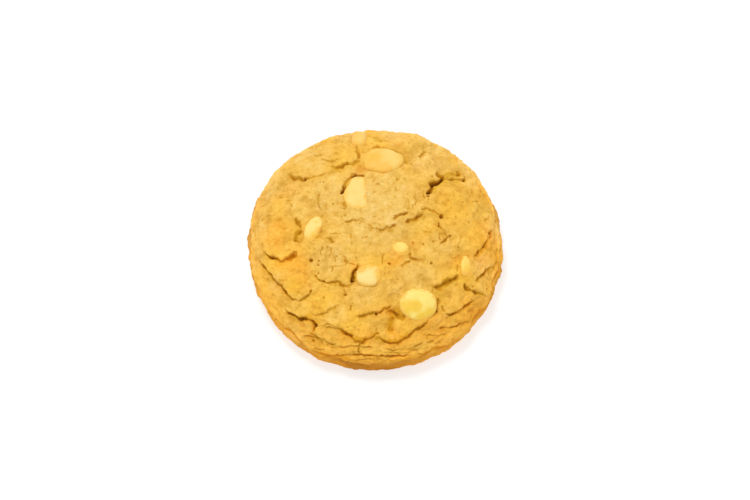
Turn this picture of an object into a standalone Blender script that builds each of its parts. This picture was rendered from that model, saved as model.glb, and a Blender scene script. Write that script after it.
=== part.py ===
"""A thick round peanut butter cookie with pale chips baked into its cracked top.

The dough is one solid with a flat base, and its cracks, plates and folds are
relief in that solid. Each chip is a solid of its own, and sits in a socket in
the dough. Lengths are in metres, +Z is up, and the origin is at the middle of
the base, so the cookie stands on the plane z = 0.
"""

import itertools
import math

import bmesh
import bpy
import numpy as np
from mathutils import Matrix, Vector

MM = 0.001

# Driving dimensions of the dough
COOKIE_RADIUS = 39.0 * MM
COOKIE_HEIGHT = 16.7 * MM
WIDEST_HEIGHT = 5.5 * MM  # where the side wall bulges furthest
TOP_ROUNDNESS = 2.6  # exponent of the domed top's curve, 2 would be an ellipse
EDGE_TUCK = 3.2 * MM  # how far the foot lies inside the widest ring
EDGE_ROUNDNESS = 2.2
BASE_SPARE = 0.15 * MM  # cut away below z = 0, so that the base is a true plane
PROFILE_STEPS = 500

# Meshing
DOUGH_SUBDIVISIONS = 7
DOUGH_KEPT_SHARE = 0.102  # share of the triangles kept, most of them at the cracks
SEEN_SHARE = 0.85  # share of the mesh that the top and side get, and not the flat base
CHIP_SUBDIVISIONS = 3

# Chips and their sockets
SOCKET_GAP = 0.3 * MM
SOCKET_OPENING = 4.0 * MM  # the cutter's height above the chip's widest ring
CHIP_SQUARENESS = 2.35  # exponent of a chip's section, 2 would be an ellipse

SIDE_START = 0.8  # where the side wall starts, of the run to the widest ring
SIDE_RAMP = 0.15
PATCH_EDGE = 1.3  # where a soft patch ends, of its radius

# Seeded noise
NOISE_PERIOD = 64
NOISE_GAIN = 1.7
NOISE_TURN = np.array(Matrix.Rotation(0.7, 3, Vector((1.0, 2.0, 3.0))))

# Low bulges of the outline: azimuth and half width in degrees, height in mm.
OUTLINE_BULGES = (
    (60, 24, 0.9),
    (71, 8, 0.8),
    (112, 13, 0.7),
    (131, 10, 0.7),
    (153, 18, 0.8),
    (200, 26, -0.9),
    (243, 14, 0.3),
    (253, 6, -0.5),
    (275, 20, -0.3),
    (325, 24, -0.3),
    (333, 5, 0.9),
    (343, 5, -0.6),
)
FOOT_BULGE = 0.3  # how high the bulges are at the foot, beside those of the widest ring

# Broad lumps of the surface: bump width and height in mm, and a seed.
LUMPS = ((13.0, 0.5, 11),)

# Pillows parted by creases, in the same terms
PILLOWS = ((7.5, 1.3, 12), (3.6, 0.9, 13))
PILLOW_LEVEL = 0.35  # what a pillow's mean height is, of its full height
RIM_CALM = 0.4  # how high the pillows are on the side wall, beside those of the top
CALM_MIDDLE = 0.5  # how high the middle's pillows are, beside those near the rim
CALM_PLACE = ((0, 7), 19.0)  # place and radius in mm of the calm middle

# Long folds that run round the rim
FOLD_CELL = 2.6 * MM
FOLD_STRETCH = 0.28  # how a fold's width is to its length
FOLD_HEIGHT = 0.55 * MM
FOLD_SEED = 17
FOLD_START = 25.0 * MM
FOLD_RAMP = 9.0 * MM

# How the traced cracks wander: bump width and shift in mm, and a seed.
WANDER = ((4.5, 0.35, 21), (1.7, 0.5, 22))

PLATE_REACH = 4.2 * MM  # how far a raised plate runs back before it is level again
PLATE_FORGET = 4.0  # times its reach, beyond which a plate is left out of account
PLATE_EDGE = 0.3 * MM  # half width of the step at a plate's edge
CRACK_FADE = 0.16  # share of a crack's length over which each end shallows out
CRACK_CURVE_STEPS = 4
SHOULDER_SHARE = 0.3  # how deep the dough dips beside a crack, of the crack's depth
SHOULDER_REACH = 1.1 * MM
BREAK_CELL = 3.2 * MM  # length of a crack's deeper and shallower stretches
BREAK_SEED = 25
BREAK_MEAN = 0.8
BREAK_SWING = 0.9
BREAK_LEAST = 0.3
CRACK_LEAST_WIDTH = 0.5  # how narrow a crack gets where it shallows out
STEEP_SIDE = 0.5  # half width of a crack on its plate's side, of its named half width
SLOPING_SIDE = 1.2  # the same on the side below the plate

# A crack is its depth, its half width, the lift of the plate on the left of its
# path (on the right if negative), and the path, all in mm as seen from above.
CRACKS = (
    # Far left and the gap beside the far chips
    (0.9, 0.7, 0.3, ((-27.5, 23), (-24.6, 21.4), (-21.6, 20.2), (-18, 20.6), (-14, 21.2))),
    (1.1, 0.7, 0.6, ((-14.6, 23.8), (-11.6, 23.2), (-9.8, 23.8), (-8.2, 24.7), (-6.4, 24.8), (-4.6, 27))),
    (0.9, 1.0, 0.5, ((-5.2, 26), (-5.2, 28), (-5.5, 29.8), (-6.4, 31.8))),
    (1.7, 0.95, 0.35, ((-10.1, 13.2), (-9.8, 15.2), (-8.7, 17.6), (-7.2, 19.8), (-5.4, 20.6), (-2.8, 19.8))),
    (0.6, 0.6, 0.3, ((-2.4, 29.9), (0.6, 30.3), (3.6, 29.9), (6.4, 28.8), (8.6, 26.6))),
    (0.5, 0.7, 0.0, ((9.3, 28.4), (9.1, 24.2))),
    # The fissure at the upper right
    (2.1, 1.05, -0.5,
     ((21.8, 21.3), (20.8, 20.4), (20, 19.4), (18.7, 19), (17.4, 18.9), (16.9, 17.9), (17.1, 16.5),
      (16.2, 15.4), (15.2, 14.2))),
    (1.2, 1.2, 0.0, ((20.6, 20.9), (22.2, 21.6), (23.8, 22.2), (25.6, 22.4))),
    (1.3, 0.7, -0.4, ((28, 21.2), (26.9, 20.7), (25.7, 20.2), (24.5, 20.6), (23.2, 20.5), (20.8, 20.1))),
    (1.0, 0.9, 0.0, ((18.6, 21.9), (19.6, 21.4), (20.8, 20.4))),
    (1.3, 0.8, 0.0, ((24.8, 21.2), (25.3, 22.6), (25.5, 24.2))),
    (0.4, 0.7, -0.2, ((12.3, 14.2), (12.2, 12), (11.9, 9.8))),
    # Short cracks across the middle
    (1.0, 0.6, 0.3, ((13.6, 9.1), (15.8, 9.2), (17.3, 8.9), (18.8, 8.4), (20.4, 6.7))),
    (1.1, 0.7, 0.4, ((9, 4.2), (10.6, 5.5), (12.1, 6), (13, 6.7), (15.2, 7.8))),
    (0.9, 0.65, 0.3, ((5.1, 4.8), (6.7, 6.4), (8.5, 7.3), (10.8, 8))),
    (0.8, 0.55, 0.3, ((-2.4, 3.8), (0.2, 2.4), (1.4, 1.9), (3.4, 2.3), (5.1, 3.1), (7.6, 4.2))),
    (0.9, 0.65, 0.3, ((19.4, 5.8), (19.6, 3.6), (20.8, 1.8), (22.7, -0.2), (21.2, -1.6), (19, -3.2))),
    (0.5, 0.5, 0.2, ((-16.2, -0.2), (-14, -0.9), (-11.8, -2.5))),
    (0.8, 0.7, 0.3, ((10.2, -5.8), (11.4, -7.5), (15.2, -7.9))),
    (0.7, 0.7, 0.2, ((7.6, -10.6), (9.2, -9.2), (10.8, -8))),
    (0.5, 0.55, 0.25, ((-10.9, -3.8), (-10.4, -5.8), (-8.9, -7.2), (-8.5, -8.8), (-10, -10), (-14, -10.8))),
    (0.9, 0.55, 0.4, ((-19, -11.6), (-17, -14), (-15.4, -14.7), (-13, -15.2), (-10.8, -15), (-9, -16.9))),
    (1.7, 0.75, 0.2, ((-7.5, -15.6), (-6.4, -12.8), (-5.2, -9.2))),
    (0.4, 0.6, 0.0, ((-7.3, 1.2), (-7.3, -4))),
    (0.5, 0.55, 0.0, ((-9.0, 12.8), (-9.5, 8.6))),
    # Plates stepping down the left side
    (1.1, 0.75, 0.7, ((-35, -3), (-32, -5.7), (-30, -6.6), (-28.2, -7.9), (-26, -7.1), (-23.2, -4.2))),
    (1.0, 0.8, 0.0, ((-24.6, 6.8), (-23.2, 4.4), (-22.2, 2.6))),
    (1.1, 0.85, 0.0, ((-22.6, 2.8), (-23.8, 0.7), (-24.2, -1.6))),
    (1.1, 0.7, 0.9,
     ((-36.6, -5.4), (-33.9, -8.6), (-30.9, -12.9), (-27.9, -16.6), (-25.8, -18.9), (-22.6, -20.6))),
    (1.0, 0.7, 0.6, ((-23, -20.6), (-20.6, -19.2), (-18.6, -17.2))),
    (1.3, 1.1, 0.9,
     ((-27.8, -22.4), (-24, -24.9), (-21, -25.7), (-20, -25.7), (-18.2, -27.1), (-17.6, -28.6),
      (-18.9, -30.6))),
    (0.6, 0.7, 0.4, ((-20.2, -24.3), (-16.8, -24.6), (-14, -23.8), (-10.4, -22.7))),
    # Lobed plates along the front
    (0.9, 0.75, 0.9,
     ((-15.6, -28.6), (-12.1, -29.1), (-9.1, -30.8), (-7.1, -31.9), (-5.4, -33.3), (-3.5, -33.1),
      (-2.2, -31.6))),
    (0.7, 0.6, 0.5, ((-3.2, -32.7), (-0.8, -32.1), (0.4, -31), (0.5, -29.2))),
    (0.9, 0.75, -1.0, ((17, -25.4), (14.1, -28.3), (10.1, -31.3), (6.1, -33.5), (2.8, -33.1), (0.4, -30.9))),
    (0.8, 0.75, -0.7, ((5.2, -21.4), (4.5, -22.6), (2.1, -24), (0.5, -24.9), (-2.6, -25.1), (-6.8, -26.8))),
    (1.1, 1.6, -0.3, ((9.8, -26.5), (8.1, -25.9), (6.2, -24.9), (3.6, -23.3))),
    (0.9, 1.1, 0.0, ((5.2, -25.6), (4.8, -28.4), (4.9, -31.2))),
    # Folds down the right side
    (1.2, 1.7, -0.5, ((25.2, -11.4), (22.8, -13.8), (20.6, -15.5), (17.4, -16.8))),
    (0.8, 0.9, -0.4, ((36, 4.4), (34.6, 1.4), (33.4, -1.4), (31.6, -3.9), (29.8, -5.7))),
    (0.9, 1.0, -0.6, ((37.2, -6.8), (34.6, -9.4), (32.6, -11.8), (29.2, -13.6))),
    (1.1, 0.8, 0.4, ((27.1, -13.8), (27.8, -15.8), (30.2, -16.6), (33.8, -17))),
    (0.9, 0.7, -0.6, ((30.6, -18.9), (28.7, -20.4), (26.7, -22), (23.7, -24.1), (20.6, -24.7))),
    (0.9, 0.8, -0.5, ((29.2, -25.2), (27.7, -25.9), (25, -27.2), (21.7, -28.3), (18.8, -29.5))),
    (1.1, 0.65, 0.2, ((19.8, -19.4), (18.9, -22), (18.5, -25))),
    # Folds above the foot, along the front
    (0.8, 0.7, 0.4, ((-17, -35.2), (-8.4, -36.7), (-3.5, -36.8), (1.2, -37.1), (6.1, -37.3), (12.4, -36.1))),
    (0.5, 0.6, 0.3, ((-22.6, -30.3), (-19.6, -31), (-15.7, -31.3))),
    (0.6, 0.6, 0.3, ((12.4, -36), (16.4, -34.9), (19, -33.4), (22.4, -32))),
    (0.4, 0.55, 0.4, ((-15.2, -33.8), (-9, -34.8), (-4.8, -34.6), (0.6, -35.1))),
    (0.4, 0.55, 0.4, ((1.6, -35.4), (7.4, -35.6), (12.2, -34.2), (15.6, -32.8))),
)

# Single swells and, where negative, dents: place, radius and height in mm
SWELLS = (
    ((6.6, -24.6), 2.2, -1.5), ((-5.0, 22.8), 2.2, -0.5), ((21, -14.6), 2.0, 0.4), ((-4.4, -10.2), 2.2, 0.6),
    ((-29.5, 0), 6.5, 0.5), ((-26.5, -13), 6.0, 0.5), ((-22, -22.5), 3.5, 0.3), ((-10, -26.5), 5.5, 0.5),
    ((8, -29.5), 4.0, 0.5), ((24.5, -20), 4.5, 0.4), ((18, 1), 6.0, 0.4), ((25, 14), 7.0, 0.4),
    ((-10, 28), 5.0, 0.4), ((-22, 26), 5.0, 0.3), ((11, 19), 3.5, -0.3), ((18.2, 19.6), 1.4, -0.3),
    ((24.2, 21.8), 2.0, -0.4), ((4.6, -28.6), 1.6, -0.5),
)

# The creases round the side wall: each one's height and depth in mm, and a seed
CREASES = ((7.4, 0.8, 31), (10.6, 0.6, 35), (4.4, 0.5, 37))
CREASE_WAVE = 2.2 * MM
CREASE_HALF_WIDTH = 0.6 * MM
CREASE_CELL = 9.0 * MM
CREASE_MEAN = 0.6  # above 1 the crease would be unbroken, below 0 missing
CREASE_SWING = 1.5

# Baked layers that show as level ridges on the side wall
LAYER_HEIGHT = 0.32 * MM
LAYER_CELL = 7.0 * MM
LAYER_SQUASH = 5.0  # how many times thinner than long a ridge is
LAYER_SEED = 33

# A chip is its node name, the place of its middle on the top, the sides of its
# outline, how sharp its corners are, its height above the dough and its depth
# below. A side is the azimuth that it faces and its distance from the middle. All
# in mm and degrees.
CHIPS = (
    ("chip_far_edge", (-4.9, 33.9), ((0, 2.4), (90, 3.1), (180, 2.4), (270, 3.4)), 3.0, 2.2, 2.6),
    ("chip_far_chunk", (2.0, 25.3),
     ((0, 6.9), (68, 4.7), (115, 4.8), (180, 5.5), (258, 4.3), (305, 5.2)), 6.0, 1.6, 3.2),
    ("chip_upper_wedge", (-6.0, 14.6),
     ((3, 3.5), (90, 5.3), (152, 3.2), (196, 4.0), (225, 5.7), (268, 5.9)), 8.0, 1.1, 3.0),
    ("chip_left", (-18.9, 2.4), ((66, 4.6), (156, 2.3), (246, 4.4), (336, 2.6)), 1.9, 1.3, 2.8),
    ("chip_small", (7.6, -4.0), ((0, 2.5), (90, 1.9), (180, 2.5), (270, 1.9)), 2.2, 0.9, 1.9),
    ("chip_centre", (-2.2, -13.4), ((0, 4.1), (90, 3.5), (180, 3.6), (270, 3.6)), 2.1, 1.5, 3.0),
    ("chip_round", (13.2, -22.0), ((0, 5.5), (90, 4.9), (180, 5.8), (270, 5.2)), 2.1, 1.6, 3.0),
    ("chip_right", (27.6, -9.5), ((0, 1.6), (90, 3.4), (180, 1.6), (270, 3.2)), 2.2, 0.9, 1.9),
)

# The dough stands proud round each chip's rim and falls away again.
LIP_HEIGHT = 0.35 * MM
LIP_REACH = 1.6 * MM


def smoothstep(value):
    value = np.clip(value, 0.0, 1.0)
    return value * value * (3.0 - 2.0 * value)


def gradient_noise(points, cell, seed):
    """Smooth random values, about -1 to 1, with bumps about a cell wide."""
    arrows = np.random.default_rng(seed).normal(size=(NOISE_PERIOD,) * 3 + (3,))
    arrows /= np.linalg.norm(arrows, axis=-1, keepdims=True)
    place = points @ NOISE_TURN / cell
    corner = np.floor(place).astype(int)
    part = place - corner
    blend = part**3 * (part * (part * 6.0 - 15.0) + 10.0)
    total = np.zeros(len(points))
    for step in itertools.product((0, 1), repeat=3):
        offset = np.array(step)
        weight = np.prod(np.where(offset, blend, 1.0 - blend), axis=1)
        index = (corner + offset) % NOISE_PERIOD
        arrow = arrows[index[:, 0], index[:, 1], index[:, 2]]
        total += weight * np.einsum("ij,ij->i", arrow, part - offset)
    return total * NOISE_GAIN


class Profile:
    """The dough's half section, followed from the top's middle round to the base's."""

    def __init__(self):
        turn = np.linspace(0.0, math.pi / 2.0, PROFILE_STEPS)
        rise = COOKIE_HEIGHT - WIDEST_HEIGHT
        drop = WIDEST_HEIGHT + BASE_SPARE
        foot = COOKIE_RADIUS - EDGE_TUCK
        top = (
            COOKIE_RADIUS * np.sin(turn) ** (2.0 / TOP_ROUNDNESS),
            WIDEST_HEIGHT + rise * np.cos(turn) ** (2.0 / TOP_ROUNDNESS),
        )
        side = (
            foot + EDGE_TUCK * np.cos(turn) ** (2.0 / EDGE_ROUNDNESS),
            WIDEST_HEIGHT - drop * np.sin(turn) ** (2.0 / EDGE_ROUNDNESS),
        )
        base = (
            foot * (1.0 - turn / turn[-1]),
            np.full(PROFILE_STEPS, -BASE_SPARE),
        )
        curves = (top, side, base)
        self.radius = np.concatenate([curve[0][:-1] for curve in curves])
        self.height = np.concatenate([curve[1][:-1] for curve in curves])
        steps = np.hypot(np.diff(self.radius), np.diff(self.height))
        self.run = np.concatenate([[0.0], np.cumsum(steps)])
        self.widest_run = self.run[PROFILE_STEPS - 1]
        self.foot_run = self.run[2 * (PROFILE_STEPS - 1)]

    def at(self, run):
        """Radius, height and outward normal (radial and vertical) at a distance along the section."""
        slope_radius = np.gradient(self.radius, self.run)
        slope_height = np.gradient(self.height, self.run)
        length = np.hypot(slope_radius, slope_height)
        return (
            np.interp(run, self.run, self.radius),
            np.interp(run, self.run, self.height),
            np.interp(run, self.run, -slope_height / length),
            np.interp(run, self.run, slope_radius / length),
        )

    def unroll(self, places):
        """Moves points seen from above to the top's unrolled skin, where distances are true."""
        places = np.asarray(places, float)
        radius = np.hypot(places[..., 0], places[..., 1])
        top = slice(0, PROFILE_STEPS)
        run = np.interp(radius, self.radius[top], self.run[top])
        return places * (run / np.maximum(radius, 1e-9))[..., None]


PROFILE = Profile()


def smooth_path(points):
    """A path through the points with rounded turns."""
    points = np.asarray(points, float)
    ends = np.concatenate([[2 * points[0] - points[1]], points, [2 * points[-1] - points[-2]]])
    found = []
    for a, b, c, d in zip(ends, ends[1:], ends[2:], ends[3:]):
        for t in np.arange(CRACK_CURVE_STEPS) / CRACK_CURVE_STEPS:
            curve = 2 * b + (c - a) * t + (2 * a - 5 * b + 4 * c - d) * t**2
            found.append(0.5 * (curve + (3 * b - a - 3 * c + d) * t**3))
    return np.array(found + [points[-1]])


def path_field(flat, path):
    """Distance to a path, positive on its left, and how far along it as a share of its length."""
    spans = np.diff(path, axis=0)
    lengths = np.linalg.norm(spans, axis=1)
    passed = np.concatenate([[0.0], np.cumsum(lengths)])
    nearest = np.full(len(flat), np.inf)
    side = np.zeros(len(flat))
    along = np.zeros(len(flat))
    for start, span, length, before in zip(path, spans, lengths, passed):
        heading = span / length
        offset = flat - start
        run = np.clip(offset @ heading, 0.0, length)
        away = offset - run[:, None] * heading
        distance = np.hypot(away[:, 0], away[:, 1])
        closer = distance < nearest
        cross = heading[0] * offset[:, 1] - heading[1] * offset[:, 0]
        side = np.where(closer, cross, side)
        along = np.where(closer, (before + run) / passed[-1], along)
        nearest = np.minimum(nearest, distance)
    return nearest * np.sign(side), along


def crack_relief(flat, wander, breaks, cracks):
    """Depth of the cracks, the dip beside them and the lift of their plates, over the unrolled skin."""
    groove = np.zeros(len(flat))
    dip = np.zeros(len(flat))
    lift = np.zeros(len(flat))
    wandered = flat + wander
    for depth, half_width, plate, points in cracks:
        path = smooth_path(PROFILE.unroll(np.array(points) * MM))
        margin = PLATE_FORGET * PLATE_REACH
        low = path.min(axis=0) - margin
        high = path.max(axis=0) + margin
        near = np.nonzero(np.all((wandered > low) & (wandered < high), axis=1))[0]
        distance, along = path_field(wandered[near], path)
        fade = smoothstep(along / CRACK_FADE) * smoothstep((1.0 - along) / CRACK_FADE)
        strength = fade * breaks[near]
        width = half_width * MM * (CRACK_LEAST_WIDTH + (1.0 - CRACK_LEAST_WIDTH) * strength)
        inward = distance * np.sign(plate)
        if plate:
            width = width * np.where(inward > 0.0, STEEP_SIDE, SLOPING_SIDE)
        cut = depth * MM * strength * smoothstep(1.0 - np.abs(distance) / width)
        groove[near] = np.maximum(groove[near], cut)
        soft = SHOULDER_SHARE * depth * MM * fade * np.exp(-np.abs(distance) / SHOULDER_REACH)
        dip[near] = np.maximum(dip[near], soft)
        edge = smoothstep(0.5 + 0.5 * inward / PLATE_EDGE)
        lift[near] += abs(plate) * MM * fade * edge * np.exp(-np.maximum(inward, 0.0) / PLATE_REACH)
    return groove, dip, lift


def chip_reach(sides, sharpness, azimuth):
    """How far a chip's outline reaches at each azimuth, rounded between its sides."""
    total = np.zeros(np.shape(azimuth))
    for facing, distance in sides:
        share = np.maximum(np.cos(azimuth - math.radians(facing)), 0.0) / (distance * MM)
        total += share**sharpness
    return total ** (-1.0 / sharpness)


def lip_relief(flat):
    """The dough's swell round each chip."""
    lip = np.zeros(len(flat))
    for _, place, sides, sharpness, _, _ in CHIPS:
        offset = flat - PROFILE.unroll(np.array(place) * MM)
        distance = np.hypot(offset[:, 0], offset[:, 1])
        reach = chip_reach(sides, sharpness, np.arctan2(offset[:, 1], offset[:, 0]))
        beyond = (distance - reach) / LIP_REACH
        lip = np.maximum(lip, LIP_HEIGHT * smoothstep(1.0 - np.abs(beyond)))
    return lip


def patches(flat, places):
    """Soft round patches on the skin, from 0 to 1."""
    share = np.zeros(len(flat))
    for place, radius, strength in places:
        offset = flat - PROFILE.unroll(np.array(place) * MM)
        apart = np.hypot(offset[:, 0], offset[:, 1]) / (radius * MM)
        share = np.maximum(share, strength * smoothstep(PATCH_EDGE - apart))
    return share


def side_share(run):
    """0 on the top and 1 on the side wall."""
    return smoothstep((run / PROFILE.widest_run - SIDE_START) / SIDE_RAMP)


def side_relief(points, run):
    """The creases and the level ridges of the side wall."""
    ring = points * np.array([1.0, 1.0, 0.0])
    crease = np.zeros(len(points))
    for height, depth, seed in CREASES:
        level = height * MM + CREASE_WAVE * gradient_noise(ring, CREASE_CELL, seed)
        broken = smoothstep(CREASE_MEAN + CREASE_SWING * gradient_noise(ring, CREASE_CELL, seed + 1))
        shape = np.exp(-(((points[:, 2] - level) / CREASE_HALF_WIDTH) ** 2))
        crease = np.maximum(crease, depth * MM * broken * shape)
    squashed = points * np.array([1.0, 1.0, LAYER_SQUASH])
    layers = gradient_noise(squashed, LAYER_CELL, LAYER_SEED)
    return side_share(run) * (LAYER_HEIGHT * layers - crease)


def swell_relief(plain, flat, run):
    """Broad lumps, pillows parted by creases, and the folds that run round the rim."""
    height = np.zeros(len(plain))
    for cell, size, seed in LUMPS:
        height += size * MM * gradient_noise(plain, cell * MM, seed)
    for place, radius, size in SWELLS:
        offset = flat - PROFILE.unroll(np.array(place) * MM)
        apart = np.hypot(offset[:, 0], offset[:, 1]) / (radius * MM)
        height += size * MM * np.exp(-(apart**2))
    calm = 1.0 - (1.0 - CALM_MIDDLE) * patches(flat, [(*CALM_PLACE, 1.0)])
    calm *= 1.0 - (1.0 - RIM_CALM) * side_share(run)
    for cell, size, seed in PILLOWS:
        height += calm * size * MM * (np.abs(gradient_noise(plain, cell * MM, seed)) - PILLOW_LEVEL)
    around = flat / np.maximum(run, 1e-9)[:, None]
    course = np.column_stack([around * COOKIE_RADIUS * FOLD_STRETCH, run])
    folds = np.abs(gradient_noise(course, FOLD_CELL, FOLD_SEED)) - PILLOW_LEVEL
    return height + FOLD_HEIGHT * smoothstep((run - FOLD_START) / FOLD_RAMP) * folds


def wander_field(points):
    """How far the cracks stray sideways from their traced paths."""
    shift = np.zeros((len(points), 2))
    for cell, height, seed in WANDER:
        for axis in range(2):
            shift[:, axis] += height * MM * gradient_noise(points, cell * MM, seed + 50 * axis)
    return shift


def outline_scale(azimuth, radius, run):
    """How much the outline's low bulges widen the dough at each azimuth."""
    bulge = np.zeros(len(azimuth))
    for centre, half_width, height in OUTLINE_BULGES:
        apart = (azimuth - math.radians(centre) + math.pi) % (2.0 * math.pi) - math.pi
        bulge += height * MM * np.exp(-((apart / math.radians(half_width)) ** 2))
    below = smoothstep((run - PROFILE.widest_run) / (PROFILE.foot_run - PROFILE.widest_run))
    bulge *= 1.0 - (1.0 - FOOT_BULGE) * below
    return 1.0 + bulge / COOKIE_RADIUS * (radius / COOKIE_RADIUS) ** 2


def dough_points(run, azimuth):
    """Points of the dough's surface, and its plain normals, for places on the unrolled skin."""
    around = np.column_stack([np.cos(azimuth), np.sin(azimuth)])
    radius, height, normal_out, normal_up = PROFILE.at(run)
    plain = np.column_stack([around * radius[:, None], height])
    normal = np.column_stack([around * normal_out[:, None], normal_up])
    flat = around * run[:, None]
    breaks = BREAK_MEAN + BREAK_SWING * gradient_noise(plain, BREAK_CELL, BREAK_SEED)
    breaks = np.maximum(breaks, BREAK_LEAST)
    groove, dip, lift = crack_relief(flat, wander_field(plain), breaks, CRACKS)
    relief = lift + swell_relief(plain, flat, run) + side_relief(plain, run) - dip
    relief = relief + lip_relief(flat) - groove
    clear_of_base = smoothstep((PROFILE.foot_run - run) / EDGE_TUCK)
    points = plain + normal * (relief * clear_of_base)[:, None]
    points[:, :2] *= outline_scale(azimuth, radius, run)[:, None]
    return points, normal


def link_mesh(name, mesh, collection):
    obj = bpy.data.objects.new(name, mesh)
    collection.objects.link(obj)
    return obj


def sphere_mesh(name, subdivisions):
    """A unit sphere of even triangles, and its points."""
    ball = bmesh.new()
    bmesh.ops.create_icosphere(ball, subdivisions=subdivisions, radius=1.0)
    mesh = bpy.data.meshes.new(name)
    ball.to_mesh(mesh)
    ball.free()
    points = np.empty(len(mesh.vertices) * 3)
    mesh.vertices.foreach_get("co", points)
    return mesh, points.reshape(-1, 3)


def set_points(mesh, points):
    mesh.vertices.foreach_set("co", points.ravel())
    mesh.update()


def apply_modifiers(obj):
    """Replaces an object's mesh by the mesh that its modifiers make."""
    graph = bpy.context.evaluated_depsgraph_get()
    made = bpy.data.meshes.new_from_object(obj.evaluated_get(graph), depsgraph=graph)
    obj.modifiers.clear()
    old = obj.data
    obj.data = made
    bpy.data.meshes.remove(old)


def cut_base(mesh):
    """Cuts the mesh off at z = 0 and closes it with one flat face."""
    body = bmesh.new()
    body.from_mesh(mesh)
    everything = body.verts[:] + body.edges[:] + body.faces[:]
    cut = bmesh.ops.bisect_plane(
        body, geom=everything, plane_co=(0, 0, 0), plane_no=(0, 0, 1), clear_inner=True
    )
    rim = [edge for edge in cut["geom_cut"] if isinstance(edge, bmesh.types.BMEdge)]
    bmesh.ops.contextual_create(body, geom=rim)
    bmesh.ops.recalc_face_normals(body, faces=body.faces)
    body.to_mesh(mesh)
    body.free()


def make_dough(collection):
    mesh, ball = sphere_mesh("cookie", DOUGH_SUBDIVISIONS)
    polar = np.arccos(np.clip(ball[:, 2], -1.0, 1.0)) / math.pi
    run = np.interp(polar, (0.0, SEEN_SHARE, 1.0), (0.0, PROFILE.foot_run, PROFILE.run[-1]))
    points, _ = dough_points(run, np.arctan2(ball[:, 1], ball[:, 0]))
    set_points(mesh, points)
    dough = link_mesh("cookie", mesh, collection)
    thin = dough.modifiers.new("fewer triangles", "DECIMATE")
    thin.ratio = DOUGH_KEPT_SHARE
    apply_modifiers(dough)
    cut_base(dough.data)
    return dough


def chip_frame(place):
    """Where a chip sits on the dough: its middle on the surface, turned to the surface's normal."""
    flat = PROFILE.unroll(np.array([place]) * MM)
    azimuth = np.arctan2(flat[:, 1], flat[:, 0])
    points, normals = dough_points(np.hypot(flat[:, 0], flat[:, 1]), azimuth)
    up = Vector(normals[0])
    right = Vector((1.0, 0.0, 0.0))
    right = (right - up * right.dot(up)).normalized()
    ahead = up.cross(right)
    frame = Matrix((right, ahead, up)).transposed().to_4x4()
    frame.translation = Vector(points[0])
    return frame


def chip_shape(name, sides, sharpness, above, below, grow):
    """A rounded lump with the given outline, in its own frame, grown by a margin."""
    mesh, ball = sphere_mesh(name, CHIP_SUBDIVISIONS)
    across = np.hypot(ball[:, 0], ball[:, 1]) ** (2.0 / CHIP_SQUARENESS)
    upward = np.sign(ball[:, 2]) * np.abs(ball[:, 2]) ** (2.0 / CHIP_SQUARENESS)
    azimuth = np.arctan2(ball[:, 1], ball[:, 0])
    reach = chip_reach(sides, sharpness, azimuth) + grow
    height = np.where(upward > 0.0, above, below + grow)
    points = np.column_stack([
        reach * across * np.cos(azimuth),
        reach * across * np.sin(azimuth),
        height * upward,
    ])
    set_points(mesh, points)
    return mesh


def make_chips(collection, cutters):
    """One solid for each chip, and a larger cutter for its socket."""
    chips = []
    for name, place, sides, sharpness, above, below in CHIPS:
        frame = chip_frame(place)
        shape = chip_shape(name, sides, sharpness, above * MM, below * MM, 0.0)
        chip = link_mesh(name, shape, collection)
        chip.matrix_world = frame
        chips.append(chip)
        socket = name + "_socket"
        shape = chip_shape(socket, sides, sharpness, SOCKET_OPENING, below * MM, SOCKET_GAP)
        cutter = link_mesh(socket, shape, cutters)
        cutter.matrix_world = frame
        cutter.hide_render = True
        cutter.display_type = "WIRE"
    return chips


def cut_sockets(dough, cutters):
    sockets = dough.modifiers.new("sockets", "BOOLEAN")
    sockets.operation = "DIFFERENCE"
    sockets.operand_type = "COLLECTION"
    sockets.collection = cutters
    sockets.solver = "EXACT"


def plain_material(name, colour, roughness):
    material = bpy.data.materials.new(name)
    material.use_nodes = True
    surface = material.node_tree.nodes["Principled BSDF"]
    surface.inputs["Base Color"].default_value = (*colour, 1.0)
    surface.inputs["Roughness"].default_value = roughness
    surface.inputs["Metallic"].default_value = 0.0
    return material


def clear_scene():
    for obj in list(bpy.data.objects):
        bpy.data.objects.remove(obj, do_unlink=True)


def new_collection(name):
    collection = bpy.data.collections.new(name)
    bpy.context.scene.collection.children.link(collection)
    return collection


def main():
    clear_scene()
    parts = new_collection("peanut butter cookie")
    cutters = new_collection("sockets")
    dough_colour = plain_material("baked dough", (0.80, 0.46, 0.11), 0.8)
    chip_colour = plain_material("pale chip", (0.93, 0.74, 0.25), 0.5)
    dough = make_dough(parts)
    chips = make_chips(parts, cutters)
    cut_sockets(dough, cutters)
    dough.data.materials.append(dough_colour)
    dough.data.shade_smooth()
    for chip in chips:
        chip.data.materials.append(chip_colour)
        chip.data.shade_smooth()


main()
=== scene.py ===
"""Looks of the peanut butter cookie: its baked dough, its pale chips, light and camera.

The dough repeats the solid's named sizes and relief at a fine mesh, and adds
the crumb, pits and small cracks that the solid leaves out. Lengths are in
metres, +Z is up, and the cookie stands on z = 0.
"""

import itertools
import math

import bmesh
import bpy
import numpy as np
from mathutils import Matrix, Vector


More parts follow.
